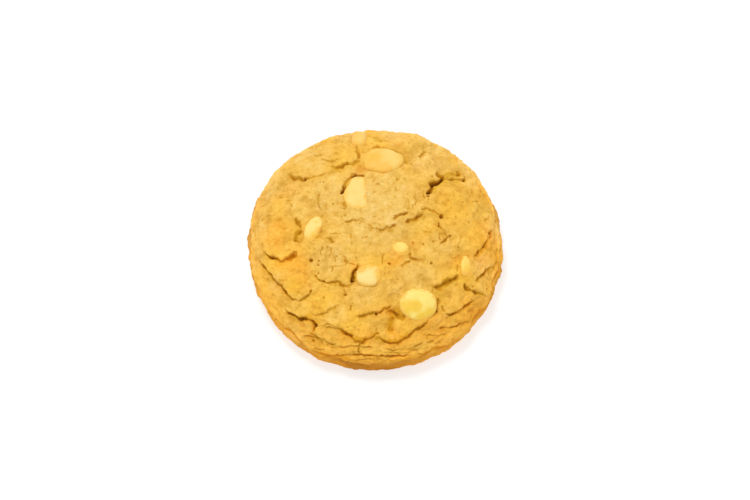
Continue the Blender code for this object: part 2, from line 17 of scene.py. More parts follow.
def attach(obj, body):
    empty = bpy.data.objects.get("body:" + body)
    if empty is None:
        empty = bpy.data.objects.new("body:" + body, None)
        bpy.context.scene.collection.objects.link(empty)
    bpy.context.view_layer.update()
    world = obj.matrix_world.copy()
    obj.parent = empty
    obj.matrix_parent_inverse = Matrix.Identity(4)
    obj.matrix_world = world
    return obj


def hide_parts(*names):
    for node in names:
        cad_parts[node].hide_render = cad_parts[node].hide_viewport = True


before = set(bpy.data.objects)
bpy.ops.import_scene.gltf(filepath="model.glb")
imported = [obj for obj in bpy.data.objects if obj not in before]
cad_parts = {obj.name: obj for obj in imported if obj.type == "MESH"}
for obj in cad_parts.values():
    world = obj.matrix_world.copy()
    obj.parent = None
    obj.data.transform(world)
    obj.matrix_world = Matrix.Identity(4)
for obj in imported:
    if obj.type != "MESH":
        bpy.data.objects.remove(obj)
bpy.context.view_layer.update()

MM = 0.001
TINY = 1e-9  # keeps a division clear of zero

# Dough, as in the solid
COOKIE_RADIUS = 39.0 * MM
COOKIE_HEIGHT = 16.7 * MM
WIDEST_HEIGHT = 5.5 * MM
TOP_ROUNDNESS = 2.6
EDGE_TUCK = 3.2 * MM
EDGE_ROUNDNESS = 2.2
PROFILE_STEPS = 500

# Meshing
DOUGH_SUBDIVISIONS = 8
DOUGH_TRIANGLES = 190_000
SEEN_SHARE = 0.85  # share of the mesh that the top and side get, and not the flat base
CHIP_SUBDIVISIONS = 6

SIDE_START = 0.8  # where the side wall starts, of the run to the widest ring
SIDE_RAMP = 0.15
SIDE_LOOK_START = 0.75  # where the side's looks and crumb start, in the same terms
SIDE_LOOK_RAMP = 0.4
PATCH_EDGE = 1.3  # where a soft patch ends, of its radius

NOISE_PERIOD = 64
NOISE_GAIN = 1.7
NOISE_TURN = np.array(Matrix.Rotation(0.7, 3, Vector((1.0, 2.0, 3.0))))

# Low bulges of the outline: azimuth and half width in degrees, height in mm.
OUTLINE_BULGES = (
    (60, 24, 0.9), (71, 8, 0.8), (112, 13, 0.7), (131, 10, 0.7), (153, 18, 0.8), (200, 26, -0.9),
    (243, 14, 0.3), (253, 6, -0.5), (275, 20, -0.3), (325, 24, -0.3), (333, 5, 0.9), (343, 5, -0.6),
)
FOOT_BULGE = 0.3  # how high the bulges are at the foot, beside those of the widest ring

# Broad lumps of the surface: bump width and height in mm, and a seed.
LUMPS = ((13.0, 0.5, 11),)

# Pillows parted by creases, in the same terms
PILLOWS = ((7.5, 1.3, 12), (3.6, 0.9, 13))
PILLOW_LEVEL = 0.35  # what a pillow's mean height is, of its full height
RIM_CALM = 0.4  # how high the pillows are on the side wall, beside those of the top
CALM_MIDDLE = 0.5  # how high the middle's pillows are, beside those near the rim

CALM = ((0, 7, 19, 1),)  # place and radius in mm of the calm, pale middle, and its strength

# Long folds that run round the rim, in the terms of the pillows
FOLDS = ((2.6, 0.55, 17),)
FOLD_STRETCH = 0.28  # how a fold's width is to its length
FOLD_START = 25.0 * MM
FOLD_RAMP = 9.0 * MM

# Crumb that only the fine mesh can hold, in the same terms
CRUMB_PILLOWS = ((2.4, 0.62, 14), (1.2, 0.42, 15))
CRUMB = ((0.6, 0.08, 16),)
CRUMB_ZONES = (9.0, 0.65, 0.45, 18)  # bump width in mm, mean strength, swing and seed
SIDE_CRUMB = 0.75  # how strong the crumb is on the side, beside the top's

# How the traced cracks wander: bump width and shift in mm, and a seed.
WANDER = ((4.5, 0.35, 21), (1.7, 0.5, 22))
FINE_WANDER = ((0.9, 0.22, 23), (0.45, 0.14, 24))
WANDER_SEED_STEP = 50  # how far the seeds of the two ways to wander are apart

PLATE_REACH = 4.2 * MM
PLATE_FORGET = 4.0  # times its reach, beyond which a plate is left out of account
PLATE_EDGE = 0.3 * MM
PLATE_SIDE_LESS_SHADE = 0.7  # how much less painted shade the plate's side of a crack gets than the side below it
CRACK_FADE = 0.16
CRACK_CURVE_STEPS = 4
SHOULDER_SHARE = 0.3  # how deep the dough dips beside a crack, of the crack's depth
SHOULDER_REACH = 1.1 * MM
BREAK_CELL = 3.2 * MM  # length of a crack's deeper and shallower stretches
BREAK_SEED = 25
BREAK_MEAN = 0.8
BREAK_SWING = 0.9
BREAK_LEAST = 0.3
CRACK_LEAST_WIDTH = 0.5  # how narrow a crack gets where it shallows out
STEEP_SIDE = 0.5  # half width of a crack on its plate's side, of its named half width
SLOPING_SIDE = 1.2  # the same on the side below the plate

# A crack is its depth, its half width, the lift of the plate on the left of its
# path (on the right if negative), and the path, all in mm as seen from above.
CRACKS = (
    # Far left and the gap beside the far chips
    (0.9, 0.7, 0.3, ((-27.5, 23), (-24.6, 21.4), (-21.6, 20.2), (-18, 20.6), (-14, 21.2))),
    (1.1, 0.7, 0.6, ((-14.6, 23.8), (-11.6, 23.2), (-9.8, 23.8), (-8.2, 24.7), (-6.4, 24.8), (-4.6, 27))),
    (0.9, 1.0, 0.5, ((-5.2, 26), (-5.2, 28), (-5.5, 29.8), (-6.4, 31.8))),
    (1.7, 0.95, 0.35, ((-10.1, 13.2), (-9.8, 15.2), (-8.7, 17.6), (-7.2, 19.8), (-5.4, 20.6), (-2.8, 19.8))),
    (0.6, 0.6, 0.3, ((-2.4, 29.9), (0.6, 30.3), (3.6, 29.9), (6.4, 28.8), (8.6, 26.6))),
    (0.5, 0.7, 0.0, ((9.3, 28.4), (9.1, 24.2))),
    # The fissure at the upper right
    (2.1, 1.05, -0.5,
     ((21.8, 21.3), (20.8, 20.4), (20, 19.4), (18.7, 19), (17.4, 18.9), (16.9, 17.9), (17.1, 16.5),
      (16.2, 15.4), (15.2, 14.2))),
    (1.2, 1.2, 0.0, ((20.6, 20.9), (22.2, 21.6), (23.8, 22.2), (25.6, 22.4))),
    (1.3, 0.7, -0.4, ((28, 21.2), (26.9, 20.7), (25.7, 20.2), (24.5, 20.6), (23.2, 20.5), (20.8, 20.1))),
    (1.0, 0.9, 0.0, ((18.6, 21.9), (19.6, 21.4), (20.8, 20.4))),
    (1.3, 0.8, 0.0, ((24.8, 21.2), (25.3, 22.6), (25.5, 24.2))),
    (0.4, 0.7, -0.2, ((12.3, 14.2), (12.2, 12), (11.9, 9.8))),
    # Short cracks across the middle
    (1.0, 0.6, 0.3, ((13.6, 9.1), (15.8, 9.2), (17.3, 8.9), (18.8, 8.4), (20.4, 6.7))),
    (1.1, 0.7, 0.4, ((9, 4.2), (10.6, 5.5), (12.1, 6), (13, 6.7), (15.2, 7.8))),
    (0.9, 0.65, 0.3, ((5.1, 4.8), (6.7, 6.4), (8.5, 7.3), (10.8, 8))),
    (0.8, 0.55, 0.3, ((-2.4, 3.8), (0.2, 2.4), (1.4, 1.9), (3.4, 2.3), (5.1, 3.1), (7.6, 4.2))),
    (0.9, 0.65, 0.3, ((19.4, 5.8), (19.6, 3.6), (20.8, 1.8), (22.7, -0.2), (21.2, -1.6), (19, -3.2))),
    (0.5, 0.5, 0.2, ((-16.2, -0.2), (-14, -0.9), (-11.8, -2.5))),
    (0.8, 0.7, 0.3, ((10.2, -5.8), (11.4, -7.5), (15.2, -7.9))),
    (0.7, 0.7, 0.2, ((7.6, -10.6), (9.2, -9.2), (10.8, -8))),
    (0.5, 0.55, 0.25, ((-10.9, -3.8), (-10.4, -5.8), (-8.9, -7.2), (-8.5, -8.8), (-10, -10), (-14, -10.8))),
    (0.9, 0.55, 0.4, ((-19, -11.6), (-17, -14), (-15.4, -14.7), (-13, -15.2), (-10.8, -15), (-9, -16.9))),
    (1.7, 0.75, 0.2, ((-7.5, -15.6), (-6.4, -12.8), (-5.2, -9.2))),
    (0.4, 0.6, 0.0, ((-7.3, 1.2), (-7.3, -4))),
    (0.5, 0.55, 0.0, ((-9.0, 12.8), (-9.5, 8.6))),
    # Plates stepping down the left side
    (1.1, 0.75, 0.7, ((-35, -3), (-32, -5.7), (-30, -6.6), (-28.2, -7.9), (-26, -7.1), (-23.2, -4.2))),
    (1.0, 0.8, 0.0, ((-24.6, 6.8), (-23.2, 4.4), (-22.2, 2.6))),
    (1.1, 0.85, 0.0, ((-22.6, 2.8), (-23.8, 0.7), (-24.2, -1.6))),
    (1.1, 0.7, 0.9,
     ((-36.6, -5.4), (-33.9, -8.6), (-30.9, -12.9), (-27.9, -16.6), (-25.8, -18.9), (-22.6, -20.6))),
    (1.0, 0.7, 0.6, ((-23, -20.6), (-20.6, -19.2), (-18.6, -17.2))),
    (1.3, 1.1, 0.9,
     ((-27.8, -22.4), (-24, -24.9), (-21, -25.7), (-20, -25.7), (-18.2, -27.1), (-17.6, -28.6),
      (-18.9, -30.6))),
    (0.6, 0.7, 0.4, ((-20.2, -24.3), (-16.8, -24.6), (-14, -23.8), (-10.4, -22.7))),
    # Lobed plates along the front
    (0.9, 0.75, 0.9,
     ((-15.6, -28.6), (-12.1, -29.1), (-9.1, -30.8), (-7.1, -31.9), (-5.4, -33.3), (-3.5, -33.1),
      (-2.2, -31.6))),
    (0.7, 0.6, 0.5, ((-3.2, -32.7), (-0.8, -32.1), (0.4, -31), (0.5, -29.2))),
    (0.9, 0.75, -1.0, ((17, -25.4), (14.1, -28.3), (10.1, -31.3), (6.1, -33.5), (2.8, -33.1), (0.4, -30.9))),
    (0.8, 0.75, -0.7, ((5.2, -21.4), (4.5, -22.6), (2.1, -24), (0.5, -24.9), (-2.6, -25.1), (-6.8, -26.8))),
    (1.1, 1.6, -0.3, ((9.8, -26.5), (8.1, -25.9), (6.2, -24.9), (3.6, -23.3))),
    (0.9, 1.1, 0.0, ((5.2, -25.6), (4.8, -28.4), (4.9, -31.2))),
    # Folds down the right side
    (1.2, 1.7, -0.5, ((25.2, -11.4), (22.8, -13.8), (20.6, -15.5), (17.4, -16.8))),
    (0.8, 0.9, -0.4, ((36, 4.4), (34.6, 1.4), (33.4, -1.4), (31.6, -3.9), (29.8, -5.7))),
    (0.9, 1.0, -0.6, ((37.2, -6.8), (34.6, -9.4), (32.6, -11.8), (29.2, -13.6))),
    (1.1, 0.8, 0.4, ((27.1, -13.8), (27.8, -15.8), (30.2, -16.6), (33.8, -17))),
    (0.9, 0.7, -0.6, ((30.6, -18.9), (28.7, -20.4), (26.7, -22), (23.7, -24.1), (20.6, -24.7))),
    (0.9, 0.8, -0.5, ((29.2, -25.2), (27.7, -25.9), (25, -27.2), (21.7, -28.3), (18.8, -29.5))),
    (1.1, 0.65, 0.2, ((19.8, -19.4), (18.9, -22), (18.5, -25))),
    # Folds above the foot, along the front
    (0.8, 0.7, 0.4, ((-17, -35.2), (-8.4, -36.7), (-3.5, -36.8), (1.2, -37.1), (6.1, -37.3), (12.4, -36.1))),
    (0.5, 0.6, 0.3, ((-22.6, -30.3), (-19.6, -31), (-15.7, -31.3))),
    (0.6, 0.6, 0.3, ((12.4, -36), (16.4, -34.9), (19, -33.4), (22.4, -32))),
    (0.4, 0.55, 0.4, ((-15.2, -33.8), (-9, -34.8), (-4.8, -34.6), (0.6, -35.1))),
    (0.4, 0.55, 0.4, ((1.6, -35.4), (7.4, -35.6), (12.2, -34.2), (15.6, -32.8))),
)

# Hairline cracks and wrinkles that only the fine mesh can hold: the depth, half width
# and lift of a kind, in the same terms, and the paths of that kind
HAIRLINE_KINDS = (
    (0.25, 0.35, 0, (((-1.6, -2.2), (-1.5, -4.4)),)),
    (0.3, 0.35, 0, (
        ((-18.2, -3.6), (-18, -6.6)), ((-15, -5.4), (-14.8, -9.4)), ((-13.4, -3.2), (-13.6, -7)),
        ((-12.4, -6.4), (-11.6, -8.6)), ((-5.9, -3.6), (-6, -6.6)), ((-3.4, -3.8), (-3.5, -6.8)),
        ((-0.2, 17.4), (1.6, 16.8)), ((11.1, 10.4), (11.2, 8.2)), ((14.6, 1.4), (17.4, 1.2)),
        ((21, 1.6), (21, -0.8)),
    )),
    (0.3, 0.35, 0.1, (
        ((-29, 14.3), (-26.2, 14.1)), ((-14.6, 11), (-14.5, 8.8)), ((-19.2, 12.8), (-19.3, 10.6)),
        ((-28.4, 16.6), (-26.6, 16.1)), ((-14, 0.5), (-9.8, 0.5)), ((-12, 8.2), (-10, 7.6)),
    )),
    (0.3, 0.4, 0.1, (
        ((-5, 4.2), (-2.6, 4.3)), ((-4.4, -0.4), (-1.8, -0.5)), ((1.6, 1.7), (5.6, 1.8)),
        ((28, 8.4), (27.2, 6.2)),
    )),
    (0.3, 0.45, 0.2, (
        ((-12, -37.6), (-4, -38), (4, -38.1), (12, -37.3)), ((-19.6, -33.2), (-15, -34.8)),
        ((2.6, -36.4), (8.4, -36.3), (14.4, -34.6)),
    )),
    (0.35, 0.35, 0, (((6.5, 16.6), (6.7, 14.6)), ((19.8, 1.4), (19.8, -1.4)))),
    (0.35, 0.35, 0.1, (
        ((-26.6, 11.6), (-24.2, 11.3)), ((-34.2, 8.9), (-31.2, 8.3)),
        ((-16.7, 14.6), (-17.1, 11.6), (-16.4, 8.8)), ((-13.6, 21.9), (-10, 22.2)), ((8.4, 20), (9.3, 17.8)),
        ((10.1, 12.4), (10.3, 10), (10.1, 7.8)), ((17, 6.8), (18.4, 5.2)), ((2.8, -10.4), (2.9, -14)),
        ((4.6, -11.4), (3.6, -12.4)), ((6.4, -14.6), (6.6, -17)), ((5, -15.4), (5.2, -17.2)),
    )),
    (0.35, 0.4, 0.1, (
        ((14.4, 15.6), (14.9, 12.8)), ((29.4, 12.6), (32, 13.3)), ((-9.4, -16.4), (-8, -16.5), (-6.6, -15.4)),
        ((-9.4, -16.6), (-8.9, -19.6)),
    )),
    (0.35, 0.45, 0.1, (((-21.6, -15), (-20.4, -14.2)),)),
    (0.35, 0.45, 0.2, (((16, -33.2), (20.4, -32.2)),)),
    (0.35, 0.5, 0.1, (((25.8, -5.6), (24.4, -7.4)), ((27, 1.2), (25.4, -1.6), (24.8, -4)))),
    (0.4, 0.35, 0, (((-16.3, -3.6), (-16.4, -6.8)),)),
    (0.4, 0.35, 0.1, (
        ((-26.8, 13.2), (-24.2, 12.5)), ((4.4, 21), (6.2, 19.9), (7, 18)), ((24.9, -8.8), (24.6, -11)),
        ((2.5, -5.6), (2.7, -7.6), (2.5, -10)),
    )),
    (0.4, 0.35, 0.2, (((17.5, -16.8), (17.6, -19.2)),)),
    (0.4, 0.4, 0, (((-13.2, -9.8), (-13.2, -12.4)),)),
    (0.4, 0.4, 0.1, (((12.4, 7.6), (14.6, 7.1)), ((-7.1, 31.6), (-7, 33.6), (-7.6, 36)))),
    (0.4, 0.4, 0.15, (
        ((-10, 5.1), (-7.4, 4.9), (-5, 5.4), (-2, 5.3)), ((-7.8, -8.7), (-6, -9.9)),
        ((-14.6, 27.4), (-11, 27.6)),
    )),
    (0.4, 0.4, 0.2, (((34.6, 9), (34, 6.4)), ((-15.8, -28.2), (-14, -28), (-12, -28.8)))),
    (0.4, 0.45, 0.2, (
        ((12.6, 27.2), (14, 28.4), (15.4, 29.8)), ((14.6, -31.6), (19.4, -30.8), (23.6, -29.6)),
    )),
    (0.4, 0.6, 0, (((-7.3, 0.8), (-7.2, -3.6)),)),
    (0.45, 0.45, 0.1, (((-16.7, -31.2), (-15.7, -33.8)),)),
    (0.45, 0.5, 0, (((20.2, -22.2), (21.2, -24)),)),
    (0.5, 0.4, 0, (((-6.8, -22.8), (-7, -24.4)), ((27, 22.6), (27.2, 20.6)))),
    (0.5, 0.4, 0.15, (((-18.5, 28.6), (-15.5, 28.2)), ((-17, 26.2), (-13, 25.6), (-10.4, 26.2)))),
    (0.5, 0.45, 0, (((-4.4, -33.6), (-4.6, -36.6)),)),
    (0.5, 0.5, 0.3, (((-20, -29.6), (-17.4, -31.2), (-14.6, -32.6), (-11.4, -34.2)),)),
    (0.7, 0.5, 0.1, (((-15, -0.5), (-13.6, -1.1), (-12.2, -2.4)),)),
)
HAIRLINES = tuple((*kind, path) for *kind, paths in HAIRLINE_KINDS for path in paths)

# Single swells and, where negative, dents: place, radius and height in mm
SWELLS = (
    (6.6, -24.6, 2.2, -1.5), (-5, 22.8, 2.2, -0.5), (21, -14.6, 2, 0.4), (-4.4, -10.2, 2.2, 0.6),
    (-29.5, 0, 6.5, 0.5), (-26.5, -13, 6, 0.5), (-22, -22.5, 3.5, 0.3), (-10, -26.5, 5.5, 0.5),
    (8, -29.5, 4, 0.5), (24.5, -20, 4.5, 0.4), (18, 1, 6, 0.4), (25, 14, 7, 0.4), (-10, 28, 5, 0.4),
    (-22, 26, 5, 0.3), (11, 19, 3.5, -0.3), (18.2, 19.6, 1.4, -0.3), (24.2, 21.8, 2, -0.4),
    (4.6, -28.6, 1.6, -0.5),
)

# Single pits: place and radius in mm
PITS = (
    (-21.2, 19.9, 0.9), (20.2, 7, 0.9), (1.9, 33.1, 0.7), (0.1, 32.9, 0.5), (16, 13.6, 0.6),
    (16.2, 12.3, 0.4), (17.1, -8.8, 0.55), (4.4, -9.2, 0.65), (14.6, -3, 0.45), (-9, -19.1, 0.65),
    (-19.4, -7.8, 0.85), (-17.2, -9.5, 0.45), (-18.8, -32.1, 0.6), (11.4, -2.4, 0.5), (0.3, -25.1, 0.8),
    (0.7, -31.2, 0.6), (-3, -32.9, 0.6), (-15.5, -14.6, 0.5), (-9.5, -16.2, 0.6), (-10.9, -15.2, 0.45),
    (-31.2, -12.9, 0.6), (22.8, 0.5, 0.6), (5.8, 3.5, 0.6), (6.2, 6.4, 0.5), (10.2, 5.2, 0.7),
    (-6.9, 5, 0.45), (-5.9, 5, 0.4), (27.8, -15.6, 0.55), (22.6, -14, 0.8), (-13.8, -1.1, 0.4),
    (31.4, -4, 0.7), (-8.3, 24.6, 0.6), (-9.9, 23.7, 0.5), (20.4, 20.2, 0.7), (-7, 20.1, 0.4),
    (25.6, 22.7, 0.8), (19.5, 21.5, 0.6), (27.3, 21.7, 0.5),
)
PIT_DEPTH = 1.2  # times its radius
PIT_STEEPNESS = 1.4  # at 1 only the pit's middle is at its full depth
PIT_SHADE = 1.8  # how dark a pit is, beside a crack of its depth
HAIR_SHADE = 2.1  # the same of a hairline
PIT_WANDER = 0.3  # how much a pit's outline strays, beside the cracks
PIT_SEED = 41
SCATTERED_PITS = 260
SCATTERED_PIT_RADII = (0.2, 0.42)

# Creases round the side wall: each one's height and depth in mm, and a seed
CREASES = ((7.4, 0.8, 31), (10.6, 0.6, 35), (4.4, 0.5, 37))
CREASE_WAVE = 2.2 * MM
CREASE_HALF_WIDTH = 0.6 * MM
CREASE_SHADE = 0.4  # how dark a crease is, beside a dip of its depth
CREASE_CELL = 9.0 * MM
CREASE_MEAN = 0.6  # above 1 the crease would be unbroken, below 0 missing
CREASE_SWING = 1.5

LAYER_HEIGHT = 0.32 * MM
LAYER_CELL = 7.0 * MM
LAYER_SQUASH = 5.0
LAYER_SEED = 33

# A chip is its node name, the place of its middle on the top, the sides of its
# outline, how sharp its corners are, its height above the dough and its depth
# below. A side is the azimuth that it faces and its distance from the middle. All
# in mm and degrees.
CHIPS = (
    ("chip_far_edge", (-4.9, 33.9), ((0, 2.4), (90, 3.1), (180, 2.4), (270, 3.4)), 3.0, 2.2, 2.6),
    ("chip_far_chunk", (2.0, 25.3),
     ((0, 6.9), (68, 4.7), (115, 4.8), (180, 5.5), (258, 4.3), (305, 5.2)), 6.0, 1.6, 3.2),
    ("chip_upper_wedge", (-6.0, 14.6),
     ((3, 3.5), (90, 5.3), (152, 3.2), (196, 4.0), (225, 5.7), (268, 5.9)), 8.0, 1.1, 3.0),
    ("chip_left", (-18.9, 2.4), ((66, 4.6), (156, 2.3), (246, 4.4), (336, 2.6)), 1.9, 1.3, 2.8),
    ("chip_small", (7.6, -4.0), ((0, 2.5), (90, 1.9), (180, 2.5), (270, 1.9)), 2.2, 0.9, 1.9),
    ("chip_centre", (-2.2, -13.4), ((0, 4.1), (90, 3.5), (180, 3.6), (270, 3.6)), 2.1, 1.5, 3.0),
    ("chip_round", (13.2, -22.0), ((0, 5.5), (90, 4.9), (180, 5.8), (270, 5.2)), 2.1, 1.6, 3.0),
    ("chip_right", (27.6, -9.5), ((0, 1.6), (90, 3.4), (180, 1.6), (270, 3.2)), 2.2, 0.9, 1.9),
)
CHIP_SQUARENESS = 2.35
CHIP_WAVES = ((2.6, 0.16, 61), (1.1, 0.06, 62))
LIP_HEIGHT = 0.35 * MM
LIP_REACH = 1.6 * MM
SEAT_DEPTH = 1.6 * MM  # how far the dough is pressed in under a chip
SEAT_INSET = 0.5 * MM  # how far inside the chip's outline that starts
SEAT_EDGE = 0.6 * MM

# Spots of painted shade in hollows, darker than their depth alone makes them: place
# and radius in mm, and strength
PAINTED_SHADE_SPOTS = (
    (7, -24.4, 1.9, 1), (5.2, -25.8, 1.6, 0.8), (4.6, -28.4, 1.7, 0.9), (2.9, -23.8, 1.4, 0.6),
    (21.6, -14.6, 1.6, 0.9), (23.2, -13.2, 1.2, 0.6), (25.3, 22.6, 1.3, 1), (22.6, 21.6, 1.3, 0.6),
    (17.4, 18.6, 1.2, 0.9), (-9.4, 10.6, 1, 0.6), (-22.8, 3.2, 1.2, 0.6), (-23.8, 0.6, 1.1, 0.7),
    (-8.6, 17.2, 1.2, 0.8), (-8.9, 14.8, 1.2, 0.7), (-8.3, 12.8, 1.1, 0.6), (4.8, -26.9, 1, 0.9),
    (4.4, -30.2, 1.7, 0.7), (-19.6, -25.6, 1.5, 0.8), (-17.6, -27, 1.1, 0.7), (-7.3, -0.4, 0.7, 0.7),
    (-7.2, -2.2, 0.7, 0.7), (-17.3, -0.3, 1, 1),
)
PAINTED_SHADE_DEPTH = 0.32  # in mm, how deep a dip is whose painted shade looks as dark

# Creases at the front with painted shade on their sides too, in the same terms
SHADED_CREASES = (
    (-8.6, -31, 1.1, 0.6), (-7.2, -31.8, 1.2, 0.9), (-5.6, -32.8, 1.2, 1), (-4, -33.1, 1.2, 1),
    (-2.8, -32.6, 0.9, 0.9), (-0.3, -31.6, 0.8, 1), (0.7, -32.4, 0.9, 1), (2.4, -33.1, 1.1, 1),
    (4.4, -33.4, 1.1, 1), (6.2, -33.3, 1.1, 1), (7.9, -32.4, 1.1, 0.9), (9.4, -31.5, 1.1, 0.8),
    (11, -30.5, 1, 0.6), (13.4, -28.8, 1, 0.6),
)
SHADED_CREASE_DEPTH = 0.38  # in mm, how deep a crack is whose painted shade looks as dark

# The painted shade under the lowest fold of the front: how far above the widest ring
# it is, its half width, and where: azimuth and half width in degrees, and strength
FOLD_SHADE_RISE = 3.1 * MM
FOLD_SHADE_WIDTH = 0.6 * MM
FOLD_SHADE_PLACES = ((256, 10, 0.9), (284, 10, 0.9))

FOOT_RISE = 3.7 * MM  # how far above the widest ring the foot's browner tone and painted shade start
FOOT_RAMP = 3.1 * MM
FOOT_LEAST = 0.3  # how strong the foot's tone is where it is weakest

# Where the foot's tone is stronger, at the front also as painted shade: azimuth and half
# width in degrees, and strength
FOOT_BROWNED_AND_SHADED = ((268, 23, 0.7), (20, 35, 0.5), (105, 40, 0.5), (170, 20, 0.4))

# Orange, well baked patches: place and radius in mm, and strength
TOASTED = (
    (-31, 2, 6, 0.8), (-26, -10, 6, 1), (-23, -14.5, 4, 0.6), (5.6, -7.6, 3.6, 0.9), (34, 2, 6, 0.8),
    (-30, -18, 5, 0.3), (-4.6, 22.6, 2.2, 1), (29, -23, 7, 0.6), (7, 34, 5, 0.4), (-20, -29, 5, 0.5),
    (-6.4, -9.8, 1.8, 0.8), (-30, 16, 6, 0.4), (31, 18, 5, 0.3), (33, -5, 6, 0.6), (25.4, -8, 2.6, 0.7),
    (11.4, -2.4, 1.6, 0.6), (-24, -5, 4, 0.4), (19, -29, 6, 0.7), (3.5, -24.5, 3.5, 0.5), (8, -32.5, 6, 0.5),
    (22, -31, 5, 0.5), (-29, -4, 3, 0.6), (-5, -34.5, 6, 0.2), (7, -35.5, 4, 0.2), (-2.5, -32.2, 3, 0.8),
    (6, -32.6, 4, 0.8), (-9, -32, 3, 0.6), (14, -31.4, 3, 0.5),
)

# Golden yellow patches, in the same terms
GOLDEN = (
    (24, 10, 5.5, 0.6), (12, 30, 5, 0.4), (-7, -28, 4.5, 0.9), (-16, -21.5, 5, 0.9), (26, -12, 4.5, 0.9),
    (-25, -16, 4, 0.9), (14, 3, 5, 0.8), (-12, 25, 5, 0.6), (1, -8.5, 4.5, 0.9), (9, -28.4, 3.6, 0.5),
    (-30, -8, 4.5, 0.6), (21, 18, 3.5, 0.2), (2, 33, 3.5, 0.7), (30, 1, 4.5, 0.5), (-30, 9, 5, 0.4),
    (18, -20, 4, 0.4),
)

# Pale, beige patches, in the same terms
PALE = (
    (0, 9, 17, 1), (-13, 14, 9, 0.9), (-13, -7, 7, 0.8), (-18, 27, 8, 0.6), (12, -13, 7, 0.6),
    (-4, -19, 5, 0.6), (-12, -25.5, 4, 0.6), (21, 24, 5, 0.4), (20, -3, 6, 0.5), (-22, 10, 6, 0.5),
    (19, -28, 3, 0.2), (-33, 14, 5, 0.4), (-30, -14, 4, 0.5), (6, -17, 4, 0.4), (-37, 6, 8, 0.6),
    (-32, 20, 8, 1), (-22, 31, 8, 1), (-8, 37, 6, 1), (18, 33, 7, 0.9), (28, 26, 5, 0.9), (38, 8, 7, 0.7),
    (5, 38, 6, 0.9), (-37, -6, 4, 0.5), (14, 28, 6, 0.6),
)

# Creamy, lighter patches, most of them near the rim, in the same terms
CREAM = (
    (16, 25, 6, 0.8), (8, 35, 6, 0.7), (-23, 17, 5, 0.6), (-36, -2, 4, 0.4), (33, -9, 5, 0.7),
    (33, -18, 5, 0.2), (37, 4, 5, 0.6), (-35, 14, 6, 0.3), (29.6, 21, 4.5, 0.8), (-25, -29.5, 5, 0.4),
    (21, -32.5, 4, 0.15),
)

# Noises of the dough's looks: size in mm, detail and roughness
BLOTCH = (9.0, 3.0, 0.5)
GRAIN = (0.9, 4.0, 0.65)
SPECK = (1.6, 3.0, 0.6)
MOTTLE = (2.6, 3.0, 0.6)
BLOTCH_RANGE = (0.35, 0.65)  # values of the noise between which the tone changes

# Tones of the dough, as linear red, green and blue. The first three have two each:
# of the darker and the paler blotches, or of the top and the side
TOP_TONES = ((0.80, 0.44, 0.061), (0.84, 0.495, 0.081))
SIDE_TONES = ((0.99, 0.41, 0.021), (0.94, 0.44, 0.040))
PALE_TONES = ((0.80, 0.525, 0.143), (0.86, 0.59, 0.185))
TOASTED_TONE = (0.88, 0.39, 0.032)
GOLDEN_TONE = (0.85, 0.475, 0.044)
CREAM_TONE = (0.97, 0.62, 0.19)
# The foot's tone: its browning, and at the front painted shade
FOOT_BROWN_AND_SHADE_TONE = (0.47, 0.168, 0.0105)
# Painted light: brightens the side wall, which the lamps light less than the top
SIDE_PAINTED_LIGHT = (1.08, 1.07, 1.10)

SIDE_TONE_SHARE = 0.9
SIDE_PAINTED_LIGHT_FULL = 0.5  # the side's share from which its painted light is full
CREAM_SHARE = 0.45
WARM_SIDE = 0.6  # the side's share from which pale patches and the painted shade of hollows have its tones
TOASTED_WARMTH = 0.75  # how far a toasted patch gives the painted shade of hollows the side's tones
FOOT_BLOTCHES = (0.3, 0.7, 0.7, 0.95)  # between which values of the blotches, and how strong the foot's tone gets

# How patches are broken up: between which values of their noise, down to what share,
# and how strong their tone gets
TOASTED_BREAKS = (0.3, 0.6, 0.5, 0.85)
GOLDEN_BREAKS = (0.3, 0.6, 0.5, 0.8)
PALE_BREAKS = (0.35, 0.65, 0.6, 0.85)

# Painted light on raised parts and painted shade in low ones: from where to where in mm,
# how strong, the colour and its blend
HEIGHT_LIGHT_AND_SHADE = (
    (0.2, 1.4, 0.35, (0.93, 0.53, 0.078), "MIX"),
    (0.0, -0.8, 0.45, (0.74, 0.67, 0.44), "MULTIPLY"),
)

# Tones by the value of the grain's noises, in the same terms: light grains, then dark ones
GRAIN_TONES = (
    (0.51, 0.68, 0.8, (1.09, 1.13, 1.38), "MULTIPLY"),
    (0.48, 0.31, 0.6, (0.77, 0.70, 0.51), "MULTIPLY"),
)

# Painted shade in the hollows and beside cracks: the trait that drives each, from where to
# where in mm, how strong it gets, and its colour on the top and on the more baked side
HOLLOW_SHADE_TONES = (
    ("shaded", 0.03, 0.29, 0.70, (0.68, 0.35, 0.014), (0.84, 0.33, 0.008)),
    ("hollow_shade", 0.04, 0.50, 0.60, (0.58, 0.29, 0.006), (0.70, 0.26, 0.005)),
    ("hollow_shade", 0.50, 1.30, 0.72, (0.42, 0.16, 0.003), (0.46, 0.15, 0.002)),
    ("hollow_shade", 1.20, 2.00, 0.70, (0.22, 0.07, 0.002), (0.24, 0.07, 0.002)),
)
